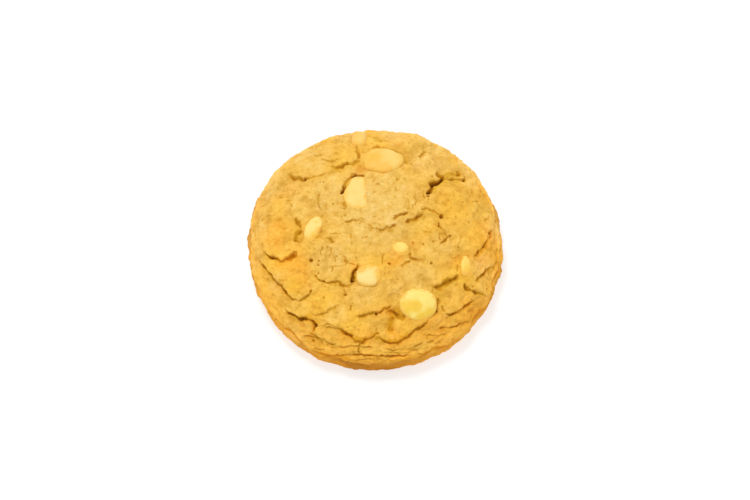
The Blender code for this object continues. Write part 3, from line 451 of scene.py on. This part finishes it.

# The chips' looks: the plain tone, the golden patches and the films of dough, these
# two in the same terms as the dough's patches, from the chip's middle
CHIP_LOOKS = {
    "chip_far_edge": (
        (0.88, 0.56, 0.135), ((-1.5, 0.5, 2.5, 0.6),), ((-3, -1, 1.5, 0.6), (2.8, -2, 1.4, 0.6)),
    ),
    "chip_far_chunk": (
        (0.89, 0.585, 0.148), ((-3, -0.5, 4.2, 0.9), (0, -3.4, 3.4, 0.9), (-1, 3.5, 2, 0.6)),
        ((-3.6, -3.2, 2.6, 1), (2, -4.4, 2.4, 0.9), (-4.6, 2.6, 1.8, 0.6)),
    ),
    "chip_upper_wedge": (
        (0.92, 0.62, 0.175), ((-3, -1, 1.8, 0.4), (0.5, -4.6, 2.2, 0.4)),
        ((3.4, -2, 1.2, 0.6), (-3.4, 3.6, 1.4, 0.5)),
    ),
    "chip_left": (
        (0.93, 0.66, 0.19), ((0.5, -3.6, 3, 1.1), (1.8, -1, 1.6, 0.5)),
        ((2.8, -1.4, 2, 1), (1.4, -4, 2, 0.9), (-2, -3.6, 1.2, 0.6)),
    ),
    "chip_small": (
        (0.94, 0.66, 0.15), ((-1.2, -0.8, 1.6, 0.7),),
        ((-2.2, -1.4, 1.2, 0.7), (2, -1.2, 1.2, 0.6), (-1.6, 1.4, 1, 0.5)),
    ),
    "chip_centre": (
        (0.93, 0.67, 0.22), ((-1.6, 2.6, 2.2, 1), (1, 3.2, 1.7, 1), (3.6, 0.2, 2, 1.2)),
        ((-2.4, 2.6, 2.5, 1), (3, 1, 1.2, 0.8)),
    ),
    "chip_round": (
        (0.9, 0.7, 0.172),
        ((-3.2, -1.2, 2.6, 1.7), (-0.9, -1.3, 2.2, 1.5), (1, -4.5, 2.4, 1.4), (3.4, -3.4, 2.4, 1.4)),
        ((-3.8, -3.4, 1.4, 0.5),),
    ),
    "chip_right": (
        (0.93, 0.62, 0.12), ((0, -2, 2.2, 0.7),),
        ((-1.4, 2.2, 1, 0.6), (0.4, -2.8, 1.4, 0.8), (1.4, 0.6, 0.9, 0.6)),
    ),
}

# The chips' noises, and what share of the plain tone their golden one has. It shows
# in blotches (between which values, and how strong) and in patches, broken up
CHIP_BLOTCH = (3.0, 3.0)
CHIP_FILM = (1.4, 3.0)
CHIP_GRAIN = (0.8, 3.0)
GOLDEN_SHARES = (0.94, 0.77, 0.30)
CHIP_BLOTCHES = (0.5, 0.75, 0.4)
CHIP_BREAKS = (0.3, 0.6, 0.5, 1.0)

# Tones of the chips' rims and of the dough on them: the trait, how far the film of
# noise makes it stray, from where to where, how strong the tone gets, and the tone
FILM_RANGE = (0.3, 0.7)
CHIP_TONES = (
    ("rim", 0.14, 0.74, 1.0, 0.9, (0.88, 0.53, 0.085)),
    ("crumb", 0.3, 0.3, 0.8, 1.0, (0.87, 0.48, 0.07)),
)

# A surface's roughness and gloss, and its bump's strength and distance
DOUGH_SURFACE = (0.85, 0.1)
DOUGH_BUMP = (0.7, 0.25 * MM)
CHIP_SURFACE = (0.5, 0.3)
CHIP_BUMP = (0.25, 0.15 * MM)
FLOOR_SURFACE = (0.9, 0.0)

# Floor and light
WHITE = (1.0, 1.0, 1.0)
FLOOR_SIZE = 6.0
FLOOR_DROP = 0.05 * MM
FLOOR_TONE = (0.45, 0.45, 0.45)
FLOOR_GLOW = 0.61
KEY_PLACE = (-0.14, 0.24, 0.86)
KEY_SIZE = 0.3
KEY_POWER = 3.45
STUDIO_LIGHT = 0.76

# Camera and picture
PICTURE_WIDTH = 228.5 * MM  # what the photograph's width spans at the cookie
SENSOR_WIDTH = 36.0
CAMERA_DISTANCE = 1.5
CAMERA_ELEVATION = 66.0
LOOK_AT_HEIGHT = 5.67 * MM
CLIP_START = 0.01


def smoothstep(value):
    value = np.clip(value, 0.0, 1.0)
    return value * value * (3.0 - 2.0 * value)


def gradient_noise(points, cell, seed):
    """Smooth random values, about -1 to 1, with bumps about a cell wide."""
    arrows = np.random.default_rng(seed).normal(size=(NOISE_PERIOD,) * 3 + (3,))
    arrows /= np.linalg.norm(arrows, axis=-1, keepdims=True)
    place = points @ NOISE_TURN / cell
    corner = np.floor(place).astype(int)
    part = place - corner
    blend = part**3 * (part * (part * 6.0 - 15.0) + 10.0)
    total = np.zeros(len(points))
    for step in itertools.product((0, 1), repeat=3):
        offset = np.array(step)
        weight = np.prod(np.where(offset, blend, 1.0 - blend), axis=1)
        index = (corner + offset) % NOISE_PERIOD
        arrow = arrows[index[:, 0], index[:, 1], index[:, 2]]
        total += weight * np.einsum("ij,ij->i", arrow, part - offset)
    return total * NOISE_GAIN


def bumps(points, waves):
    """The sum of smooth noises, each with its bump width and height in mm, and its seed."""
    return sum(size * MM * gradient_noise(points, cell * MM, seed) for cell, size, seed in waves)


def pillows(points, waves):
    """The same of noises whose bumps are rounded and parted by creases."""
    return sum(
        size * MM * (np.abs(gradient_noise(points, cell * MM, seed)) - PILLOW_LEVEL)
        for cell, size, seed in waves
    )


class Profile:
    """The dough's half section, followed from the top's middle round to the base's."""

    def __init__(self):
        turn = np.linspace(0.0, math.pi / 2.0, PROFILE_STEPS)
        rise = COOKIE_HEIGHT - WIDEST_HEIGHT
        foot = COOKIE_RADIUS - EDGE_TUCK
        top = (
            COOKIE_RADIUS * np.sin(turn) ** (2.0 / TOP_ROUNDNESS),
            WIDEST_HEIGHT + rise * np.cos(turn) ** (2.0 / TOP_ROUNDNESS),
        )
        side = (
            foot + EDGE_TUCK * np.cos(turn) ** (2.0 / EDGE_ROUNDNESS),
            WIDEST_HEIGHT - WIDEST_HEIGHT * np.sin(turn) ** (2.0 / EDGE_ROUNDNESS),
        )
        base = (foot * (1.0 - turn / turn[-1]), np.zeros(PROFILE_STEPS))
        curves = (top, side, base)
        self.radius = np.concatenate([curve[0][:-1] for curve in curves])
        self.height = np.concatenate([curve[1][:-1] for curve in curves])
        steps = np.hypot(np.diff(self.radius), np.diff(self.height))
        self.run = np.concatenate([[0.0], np.cumsum(steps)])
        self.widest_run = self.run[PROFILE_STEPS - 1]
        self.foot_run = self.run[2 * (PROFILE_STEPS - 1)]

    def at(self, run):
        """Radius, height and outward normal (radial and vertical) at a distance along the section."""
        slope_radius = np.gradient(self.radius, self.run)
        slope_height = np.gradient(self.height, self.run)
        length = np.hypot(slope_radius, slope_height)
        return (
            np.interp(run, self.run, self.radius),
            np.interp(run, self.run, self.height),
            np.interp(run, self.run, -slope_height / length),
            np.interp(run, self.run, slope_radius / length),
        )

    def unroll(self, places):
        """Moves points seen from above to the top's unrolled skin, where distances are true."""
        places = np.asarray(places, float)
        radius = np.hypot(places[..., 0], places[..., 1])
        top = slice(0, PROFILE_STEPS)
        run = np.interp(radius, self.radius[top], self.run[top])
        return places * (run / np.maximum(radius, TINY))[..., None]


PROFILE = Profile()


def smooth_path(points):
    """A path through the points with rounded turns."""
    points = np.asarray(points, float)
    ends = np.concatenate([[2 * points[0] - points[1]], points, [2 * points[-1] - points[-2]]])
    found = []
    for a, b, c, d in zip(ends, ends[1:], ends[2:], ends[3:]):
        for t in np.arange(CRACK_CURVE_STEPS) / CRACK_CURVE_STEPS:
            curve = 2 * b + (c - a) * t + (2 * a - 5 * b + 4 * c - d) * t**2
            found.append(0.5 * (curve + (3 * b - a - 3 * c + d) * t**3))
    return np.array(found + [points[-1]])


def path_field(flat, path):
    """Distance to a path, positive on its left, and how far along it as a share of its length."""
    spans = np.diff(path, axis=0)
    lengths = np.linalg.norm(spans, axis=1)
    passed = np.concatenate([[0.0], np.cumsum(lengths)])
    nearest = np.full(len(flat), np.inf)
    side, along = np.zeros((2, len(flat)))
    for start, span, length, before in zip(path, spans, lengths, passed):
        heading = span / length
        offset = flat - start
        run = np.clip(offset @ heading, 0.0, length)
        away = offset - run[:, None] * heading
        distance = np.hypot(away[:, 0], away[:, 1])
        closer = distance < nearest
        cross = heading[0] * offset[:, 1] - heading[1] * offset[:, 0]
        side = np.where(closer, cross, side)
        along = np.where(closer, (before + run) / passed[-1], along)
        nearest = np.minimum(nearest, distance)
    return nearest * np.sign(side), along


def crack_relief(flat, wander, breaks, cracks):
    """The cracks' depth, the dip beside them, the painted shade there and the plates' lift, over the unrolled
    skin.
    """
    groove, dip, shade, lift = np.zeros((4, len(flat)))
    wandered = flat + wander
    for depth, half_width, plate, points in cracks:
        path = smooth_path(PROFILE.unroll(np.array(points) * MM))
        margin = PLATE_FORGET * PLATE_REACH
        low = path.min(axis=0) - margin
        high = path.max(axis=0) + margin
        near = np.nonzero(np.all((wandered > low) & (wandered < high), axis=1))[0]
        distance, along = path_field(wandered[near], path)
        fade = smoothstep(along / CRACK_FADE) * smoothstep((1.0 - along) / CRACK_FADE)
        strength = fade * breaks[near]
        width = half_width * MM * (CRACK_LEAST_WIDTH + (1.0 - CRACK_LEAST_WIDTH) * strength)
        inward = distance * np.sign(plate)
        if plate:
            width = width * np.where(inward > 0.0, STEEP_SIDE, SLOPING_SIDE)
        cut = depth * MM * strength * smoothstep(1.0 - np.abs(distance) / width)
        groove[near] = np.maximum(groove[near], cut)
        soft = SHOULDER_SHARE * depth * MM * fade * np.exp(-np.abs(distance) / SHOULDER_REACH)
        dip[near] = np.maximum(dip[near], soft)
        edge = smoothstep(0.5 + 0.5 * inward / PLATE_EDGE)
        lift[near] += abs(plate) * MM * fade * edge * np.exp(-np.maximum(inward, 0.0) / PLATE_REACH)
        if plate:
            soft = soft * (1.0 - PLATE_SIDE_LESS_SHADE * edge)
        shade[near] = np.maximum(shade[near], soft)
    return groove, dip, shade, lift


def chip_reach(sides, sharpness, azimuth):
    """How far a chip's outline reaches at each azimuth, rounded between its sides."""
    total = np.zeros(np.shape(azimuth))
    for facing, distance in sides:
        share = np.maximum(np.cos(azimuth - math.radians(facing)), 0.0) / (distance * MM)
        total += share**sharpness
    return total ** (-1.0 / sharpness)


def chip_seats(flat):
    """The dough's swell round each chip, and how far it is pressed in under the chip."""
    lip, seat = np.zeros((2, len(flat)))
    for _, place, sides, sharpness, _, _ in CHIPS:
        offset = flat - PROFILE.unroll(np.array(place) * MM)
        distance = np.hypot(offset[:, 0], offset[:, 1])
        reach = chip_reach(sides, sharpness, np.arctan2(offset[:, 1], offset[:, 0]))
        beyond = (distance - reach) / LIP_REACH
        lip = np.maximum(lip, LIP_HEIGHT * smoothstep(1.0 - np.abs(beyond)))
        seat = np.maximum(seat, SEAT_DEPTH * smoothstep((reach - SEAT_INSET - distance) / SEAT_EDGE))
    return lip, seat


def side_share(run):
    """0 on the top and 1 on the side wall."""
    return smoothstep((run / PROFILE.widest_run - SIDE_START) / SIDE_RAMP)


def side_relief(points, run):
    """The level ridges of the side wall, and the depth of its creases."""
    ring = points * np.array([1.0, 1.0, 0.0])
    crease = np.zeros(len(points))
    for height, depth, seed in CREASES:
        level = height * MM + CREASE_WAVE * gradient_noise(ring, CREASE_CELL, seed)
        broken = smoothstep(CREASE_MEAN + CREASE_SWING * gradient_noise(ring, CREASE_CELL, seed + 1))
        shape = np.exp(-(((points[:, 2] - level) / CREASE_HALF_WIDTH) ** 2))
        crease = np.maximum(crease, depth * MM * broken * shape)
    squashed = points * np.array([1.0, 1.0, LAYER_SQUASH])
    layers = gradient_noise(squashed, LAYER_CELL, LAYER_SEED)
    return side_share(run) * LAYER_HEIGHT * layers, side_share(run) * crease


def wander_field(points, waves):
    """How far the cracks stray sideways from their traced paths."""
    shift = np.zeros((len(points), 2))
    for cell, height, seed in waves:
        for axis in range(2):
            shift[:, axis] += height * MM * gradient_noise(points, cell * MM, seed + WANDER_SEED_STEP * axis)
    return shift


def bands_around(azimuth, bands):
    """The sum of soft bands, each with its azimuth and half width in degrees, and its height."""
    total = np.zeros(len(azimuth))
    for centre, half_width, height in bands:
        apart = (azimuth - math.radians(centre) + math.pi) % (2.0 * math.pi) - math.pi
        total += height * np.exp(-((apart / math.radians(half_width)) ** 2))
    return total


def outline_scale(azimuth, radius, run):
    """How much the outline's low bulges widen the dough at each azimuth."""
    bulge = bands_around(azimuth, OUTLINE_BULGES) * MM
    below = smoothstep((run - PROFILE.widest_run) / (PROFILE.foot_run - PROFILE.widest_run))
    bulge *= 1.0 - (1.0 - FOOT_BULGE) * below
    return 1.0 + bulge / COOKIE_RADIUS * (radius / COOKIE_RADIUS) ** 2


def swell_relief(plain, flat, run):
    """Broad lumps, pillows parted by creases, and the folds that run round the rim."""
    height = bumps(plain, LUMPS)
    for *place, radius, size in SWELLS:
        height += size * MM * np.exp(-(apart_from(flat, place, radius) ** 2))
    calm = 1.0 - (1.0 - CALM_MIDDLE) * patches(flat, CALM)
    calm *= 1.0 - (1.0 - RIM_CALM) * side_share(run)
    around = flat / np.maximum(run, TINY)[:, None]
    course = np.column_stack([around * COOKIE_RADIUS * FOLD_STRETCH, run])
    folded = smoothstep((run - FOLD_START) / FOLD_RAMP)
    return height + calm * pillows(plain, PILLOWS) + folded * pillows(course, FOLDS)


def pit_relief(flat):
    """Depth of the small round pits: the single ones, and many scattered by a seeded draw."""
    draw = np.random.default_rng(PIT_SEED)
    reach = PROFILE.foot_run * np.sqrt(draw.uniform(0.0, 1.0, SCATTERED_PITS))
    azimuth = draw.uniform(0.0, 2.0 * math.pi, SCATTERED_PITS)
    centres = np.column_stack([np.cos(azimuth), np.sin(azimuth)]) * reach[:, None]
    radii = draw.uniform(*SCATTERED_PIT_RADII, SCATTERED_PITS) * MM
    single = np.array(PITS) * MM
    centres = np.concatenate([centres, PROFILE.unroll(single[:, :2])])
    radii = np.concatenate([radii, single[:, 2]])
    depth = np.zeros(len(flat))
    order = np.argsort(flat[:, 0])
    across = flat[order, 0]
    for centre, radius in zip(centres, radii):
        first, last = np.searchsorted(across, (centre[0] - radius, centre[0] + radius))
        near = order[first:last]
        offset = flat[near] - centre
        share = np.clip(1.0 - np.hypot(offset[:, 0], offset[:, 1]) / radius, 0.0, 1.0)
        depth[near] = np.maximum(depth[near], PIT_DEPTH * radius * smoothstep(PIT_STEEPNESS * share))
    return depth


def apart_from(flat, place, radius, unroll=PROFILE.unroll):
    """How far points are from a place in mm, as a share of a radius in mm."""
    offset = flat - unroll(np.array(place) * MM)
    return np.hypot(offset[:, 0], offset[:, 1]) / (radius * MM)


def patches(flat, places, unroll=PROFILE.unroll):
    """Soft round patches on the skin, from 0 to their strength."""
    share = np.zeros(len(flat))
    for *place, radius, strength in places:
        apart = apart_from(flat, place, radius, unroll)
        share = np.maximum(share, strength * smoothstep(PATCH_EDGE - apart))
    return share


def crumb_relief(plain, side):
    """The crumb's height, stronger in some zones than in others and weaker on the side."""
    cell, mean, swing, seed = CRUMB_ZONES
    crumbly = mean + swing * gradient_noise(plain, cell * MM, seed)
    crumbly = np.clip(crumbly, 0.0, 1.0) * (1.0 - (1.0 - SIDE_CRUMB) * side)
    return crumbly * (pillows(plain, CRUMB_PILLOWS) + bumps(plain, CRUMB))


def crease_and_fold_shade(run, azimuth, flat):
    """How strong the painted shade in the front's creases and under its lowest fold is, from 0 to 1."""
    above = run - PROFILE.widest_run + FOLD_SHADE_RISE
    line = np.exp(-((above / FOLD_SHADE_WIDTH) ** 2)) * bands_around(azimuth, FOLD_SHADE_PLACES)
    return np.maximum(patches(flat, SHADED_CREASES), line)


def foot_brown_and_shade(run, azimuth):
    """The strength of the foot's browner tone and, at the front, its painted shade: 0 above the foot, up to
    1.
    """
    darkened = np.minimum(FOOT_LEAST + bands_around(azimuth, FOOT_BROWNED_AND_SHADED), 1.0)
    return darkened * smoothstep((run - PROFILE.widest_run + FOOT_RISE) / FOOT_RAMP)


def dough_points(run, azimuth, fine):
    """Points of the dough's surface, its plain normals and, if fine, what its colour follows."""
    around = np.column_stack([np.cos(azimuth), np.sin(azimuth)])
    radius, height, normal_out, normal_up = PROFILE.at(run)
    plain = np.column_stack([around * radius[:, None], height])
    normal = np.column_stack([around * normal_out[:, None], normal_up])
    flat = around * run[:, None]
    wander = wander_field(plain, WANDER)
    if fine:
        wander += wander_field(plain, FINE_WANDER)
    breaks = BREAK_MEAN + BREAK_SWING * gradient_noise(plain, BREAK_CELL, BREAK_SEED)
    breaks = np.maximum(breaks, BREAK_LEAST)
    groove, dip, shade, lift = crack_relief(flat, wander, breaks, CRACKS)
    lip, seat = chip_seats(flat)
    layers, crease = side_relief(plain, run)
    relief = lift + swell_relief(plain, flat, run) + layers - crease - dip
    traits = {}
    if fine:
        hairs, hair_dip, hair_shade, hair_lift = crack_relief(flat, wander, breaks, HAIRLINES)
        pits = pit_relief(flat + PIT_WANDER * wander)
        side = (run - SIDE_LOOK_START * PROFILE.widest_run) / (SIDE_LOOK_RAMP * PROFILE.widest_run)
        side = smoothstep(side)
        relief = relief + hair_lift + crumb_relief(plain, side) - hair_dip
        darkened = crease_and_fold_shade(run, azimuth, flat)
        # The hollow and shaded traits hold painted shade: in cracks, hairlines, pits and creases, beside
        # them, and in listed spots
        hollow_shade = np.maximum.reduce([groove, HAIR_SHADE * hairs, PIT_SHADE * pits]) / MM
        shade = np.maximum.reduce([shade, hair_shade, CREASE_SHADE * crease]) / MM
        traits = {
            "hollow_shade": np.maximum(hollow_shade, SHADED_CREASE_DEPTH * darkened),
            "raised": relief / MM,
            "shaded": np.maximum(shade, PAINTED_SHADE_DEPTH * np.maximum(patches(flat, PAINTED_SHADE_SPOTS), darkened)),
            "toasted": patches(flat, TOASTED),
            "golden": patches(flat, GOLDEN),
            "pale": patches(flat, PALE),
            "cream": patches(flat, CREAM),
            "side": side,
            "foot": foot_brown_and_shade(run, azimuth),
        }
        groove = np.maximum.reduce([groove, hairs, pits])
        relief = relief - seat
    relief = relief + lip - groove
    clear_of_base = smoothstep((PROFILE.foot_run - run) / EDGE_TUCK)
    points = plain + normal * (relief * clear_of_base)[:, None]
    points[:, :2] *= outline_scale(azimuth, radius, run)[:, None]
    points[:, 2] = np.maximum(points[:, 2], 0.0)
    return points, normal, traits


def sphere_mesh(name, subdivisions):
    """A unit sphere of even triangles, and its points."""
    ball = bmesh.new()
    bmesh.ops.create_icosphere(ball, subdivisions=subdivisions, radius=1.0)
    mesh = bpy.data.meshes.new(name)
    ball.to_mesh(mesh)
    ball.free()
    points = np.empty(len(mesh.vertices) * 3)
    mesh.vertices.foreach_get("co", points)
    return mesh, points.reshape(-1, 3)


def link(obj):
    bpy.context.scene.collection.objects.link(obj)
    return obj


def make_piece(mesh, points, traits):
    """An object of the mesh, with its points moved and its traits added."""
    mesh.vertices.foreach_set("co", points.ravel())
    mesh.update()
    for name, values in traits.items():
        attribute = mesh.attributes.new(name, "FLOAT", "POINT")
        attribute.data.foreach_set("value", np.asarray(values, np.float32))
    return link(bpy.data.objects.new(mesh.name, mesh))


def apply_modifiers(obj):
    graph = bpy.context.evaluated_depsgraph_get()
    made = bpy.data.meshes.new_from_object(obj.evaluated_get(graph), depsgraph=graph)
    obj.modifiers.clear()
    old = obj.data
    obj.data = made
    bpy.data.meshes.remove(old)


def make_dough():
    mesh, ball = sphere_mesh("baked_dough", DOUGH_SUBDIVISIONS)
    polar = np.arccos(np.clip(ball[:, 2], -1.0, 1.0)) / math.pi
    run = np.interp(polar, (0.0, SEEN_SHARE, 1.0), (0.0, PROFILE.foot_run, PROFILE.run[-1]))
    points, _, traits = dough_points(run, np.arctan2(ball[:, 1], ball[:, 0]), True)
    dough = make_piece(mesh, points, traits)
    thin = dough.modifiers.new("fewer triangles", "DECIMATE")
    thin.ratio = DOUGH_TRIANGLES / len(mesh.polygons)
    apply_modifiers(dough)
    dough.data.shade_smooth()
    return dough


def chip_frame(place):
    """Where a chip sits on the dough: its middle on the surface, turned to the surface's normal."""
    flat = PROFILE.unroll(np.array([place]) * MM)
    azimuth = np.arctan2(flat[:, 1], flat[:, 0])
    points, normals, _ = dough_points(np.hypot(flat[:, 0], flat[:, 1]), azimuth, False)
    up = Vector(normals[0])
    right = Vector((1.0, 0.0, 0.0))
    right = (right - up * right.dot(up)).normalized()
    ahead = up.cross(right)
    seat = Matrix((right, ahead, up)).transposed().to_4x4()
    seat.translation = Vector(points[0])
    return seat


def make_chip(name, place, sides, sharpness, above, below):
    """A rounded lump with the given outline and a softly waved face, resting in the dough."""
    mesh, ball = sphere_mesh("pale_" + name, CHIP_SUBDIVISIONS)
    across = np.hypot(ball[:, 0], ball[:, 1]) ** (2.0 / CHIP_SQUARENESS)
    upward = np.sign(ball[:, 2]) * np.abs(ball[:, 2]) ** (2.0 / CHIP_SQUARENESS)
    azimuth = np.arctan2(ball[:, 1], ball[:, 0])
    reach = chip_reach(sides, sharpness, azimuth)
    height = np.where(upward > 0.0, above * MM, below * MM)
    points = np.column_stack([
        reach * across * np.cos(azimuth),
        reach * across * np.sin(azimuth),
        height * upward,
    ])
    there = points + np.array([*place, 0.0]) * MM
    points += ball * bumps(there, CHIP_WAVES)[:, None]
    _, golden, crumb = CHIP_LOOKS[name]
    chip = make_piece(mesh, points, {
        "rim": np.hypot(ball[:, 0], ball[:, 1]),
        "golden": patches(points[:, :2], golden, np.asarray),
        "crumb": patches(points[:, :2], crumb, np.asarray),
    })
    mesh.transform(chip_frame(place))
    mesh.shade_smooth()
    return chip


class Nodes:
    """Small helpers to build a material's node tree."""

    def __init__(self, name):
        self.material = bpy.data.materials.new(name)
        self.material.use_nodes = True
        self.tree = self.material.node_tree
        self.surface = self.tree.nodes["Principled BSDF"]

    def add(self, kind, **settings):
        node = self.tree.nodes.new(kind)
        for key, value in settings.items():
            setattr(node, key, value)
        return node

    def put(self, value, socket):
        """Joins a node's output to a socket, or gives the socket a number or a colour."""
        if isinstance(value, tuple):
            socket.default_value = (*value, 1.0)
        elif isinstance(value, (int, float)):
            socket.default_value = value
        else:
            self.tree.links.new(value, socket)

    def feed(self, node, values):
        """Puts values into a node's inputs, by name or number."""
        for name, value in values.items():
            self.put(value, node.inputs[name])

    def trait(self, name):
        return self.add("ShaderNodeAttribute", attribute_name=name).outputs["Fac"]

    def noise(self, size, detail, roughness=0.5):
        """Noise whose features are about size mm."""
        node = self.add("ShaderNodeTexNoise")
        place = self.add("ShaderNodeTexCoord").outputs["Object"]
        scale = 1.0 / (size * MM)
        self.feed(node, {"Vector": place, "Scale": scale, "Detail": detail, "Roughness": roughness})
        return node.outputs["Fac"]

    def remap(self, value, low, high, to_low=0.0, to_high=1.0):
        node = self.add("ShaderNodeMapRange", interpolation_type="SMOOTHSTEP")
        ends = {"From Min": low, "From Max": high, "To Min": to_low, "To Max": to_high}
        self.feed(node, {"Value": value, **ends})
        return node.outputs["Result"]

    def math(self, operation, first, second):
        node = self.add("ShaderNodeMath", operation=operation)
        self.feed(node, {0: first, 1: second})
        return node.outputs["Value"]

    def mix(self, share, first, second, blend="MIX"):
        node = self.add("ShaderNodeMix", data_type="RGBA", blend_type=blend)
        self.put(share, node.inputs[0])
        colours = [socket for socket in node.inputs if socket.type == "RGBA"]
        for socket, value in zip(colours, (first, second)):
            self.put(value, socket)
        return [socket for socket in node.outputs if socket.type == "RGBA"][0]

    def tint(self, colour, value, low, high, share, tone, blend="MIX"):
        """Mixes a tone into the colour, the more the further the value is from low to high."""
        return self.mix(self.remap(value, low, high, 0.0, share), colour, tone, blend)

    def finish(self, colour, roughness, gloss):
        self.feed(self.surface, {"Base Color": colour, "Roughness": roughness, "Specular IOR Level": gloss})

    def bump(self, height, strength, distance):
        node = self.add("ShaderNodeBump")
        self.feed(node, {"Strength": strength, "Distance": distance, "Height": height})
        self.feed(self.surface, {"Normal": node.outputs["Normal"]})


def dough_material():
    n = Nodes("baked dough")
    blotch, grain, speck, mottle = (n.noise(*waves) for waves in (BLOTCH, GRAIN, SPECK, MOTTLE))
    blotchy = n.remap(blotch, *BLOTCH_RANGE)
    side = n.trait("side")
    top_tone, side_tone = (n.mix(blotchy, *tones) for tones in (TOP_TONES, SIDE_TONES))
    colour = n.mix(n.math("MULTIPLY", side, SIDE_TONE_SHARE), top_tone, side_tone)
    warm = n.remap(side, 0.0, WARM_SIDE)
    for trait, waves, (low, high, least, share), tone in (
        ("toasted", speck, TOASTED_BREAKS, TOASTED_TONE),
        ("golden", mottle, GOLDEN_BREAKS, GOLDEN_TONE),
        ("pale", mottle, PALE_BREAKS, n.mix(warm, *PALE_TONES)),
    ):
        broken = n.math("MULTIPLY", n.trait(trait), n.remap(waves, low, high, least, 1.0))
        colour = n.mix(n.math("MULTIPLY", broken, share), colour, tone)
    colour = n.mix(n.math("MULTIPLY", n.trait("cream"), CREAM_SHARE), colour, CREAM_TONE)
    # Painted light and shade by height, then tones by the mottle and the grain
    for values, tones in ((n.trait("raised"), HEIGHT_LIGHT_AND_SHADE), (mottle, GRAIN_TONES), (grain, GRAIN_TONES)):
        for tone in tones:
            colour = n.tint(colour, values, *tone)
    # Painted light on the side wall
    colour = n.mix(n.remap(side, 0.0, SIDE_PAINTED_LIGHT_FULL), colour, SIDE_PAINTED_LIGHT, "MULTIPLY")
    # The foot's browner tone, with painted shade where the front's lower side faces away from the light
    foot = n.math("MULTIPLY", n.trait("foot"), n.remap(blotch, *FOOT_BLOTCHES))
    colour = n.mix(foot, colour, FOOT_BROWN_AND_SHADE_TONE)
    warm = n.math("MAXIMUM", warm, n.math("MULTIPLY", n.trait("toasted"), TOASTED_WARMTH))
    # Painted shade in cracks, pits, creases and other hollows
    for trait, low, high, share, plain_tone, warm_tone in HOLLOW_SHADE_TONES:
        colour = n.tint(colour, n.trait(trait), low, high, share, n.mix(warm, plain_tone, warm_tone))
    n.finish(colour, *DOUGH_SURFACE)
    n.bump(n.math("ADD", grain, speck), *DOUGH_BUMP)
    return n.material


def chip_material(name):
    n = Nodes("pale " + name.replace("_", " "))
    plain = CHIP_LOOKS[name][0]
    deeper = tuple(value * share for value, share in zip(plain, GOLDEN_SHARES))
    blotch = n.noise(*CHIP_BLOTCH)
    film = n.noise(*CHIP_FILM)
    colour = n.tint(plain, blotch, *CHIP_BLOTCHES, deeper)
    colour = n.mix(n.math("MULTIPLY", n.trait("golden"), n.remap(blotch, *CHIP_BREAKS)), colour, deeper)
    for trait, stray, *tone in CHIP_TONES:
        strayed = n.math("ADD", n.trait(trait), n.remap(film, *FILM_RANGE, -stray, stray))
        colour = n.tint(colour, strayed, *tone)
    n.finish(colour, *CHIP_SURFACE)
    n.bump(n.noise(*CHIP_GRAIN), *CHIP_BUMP)
    return n.material


def make_floor():
    bpy.ops.mesh.primitive_plane_add(size=FLOOR_SIZE, location=(0.0, 0.0, -FLOOR_DROP))
    floor = bpy.context.object
    floor.name = "floor"
    n = Nodes("pale floor")
    n.finish(FLOOR_TONE, *FLOOR_SURFACE)
    n.feed(n.surface, {"Emission Color": WHITE, "Emission Strength": FLOOR_GLOW})
    floor.data.materials.append(n.material)


def make_light():
    world = bpy.data.worlds.new("studio")
    world.use_nodes = True
    background = world.node_tree.nodes["Background"]
    background.inputs["Color"].default_value = (*WHITE, 1.0)
    background.inputs["Strength"].default_value = STUDIO_LIGHT
    bpy.context.scene.world = world
    light = bpy.data.lights.new("key", "AREA")
    light.shape = "DISK"
    light.size = KEY_SIZE
    light.energy = KEY_POWER
    key = link(bpy.data.objects.new("key", light))
    key.location = KEY_PLACE
    key.rotation_euler = (-Vector(KEY_PLACE)).to_track_quat("-Z", "Y").to_euler()
    bpy.context.scene.view_settings.view_transform = "Standard"


def make_camera():
    camera = bpy.data.cameras.new("camera")
    camera.sensor_width = SENSOR_WIDTH
    camera.lens = SENSOR_WIDTH * CAMERA_DISTANCE / PICTURE_WIDTH
    camera.clip_start = CLIP_START
    eye = link(bpy.data.objects.new("camera", camera))
    tilt = math.radians(CAMERA_ELEVATION)
    eye.location = (0.0, -CAMERA_DISTANCE * math.cos(tilt), LOOK_AT_HEIGHT + CAMERA_DISTANCE * math.sin(tilt))
    eye.rotation_euler = (math.pi / 2.0 - tilt, 0.0, 0.0)
    bpy.context.scene.camera = eye


def main():
    dough = make_dough()
    dough.data.materials.append(dough_material())
    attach(dough, "root")
    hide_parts("cookie")
    for chip_values in CHIPS:
        name = chip_values[0]
        chip = make_chip(*chip_values)
        chip.data.materials.append(chip_material(name))
        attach(chip, "root")
        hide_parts(name)
    make_floor()
    make_light()
    make_camera()


main()
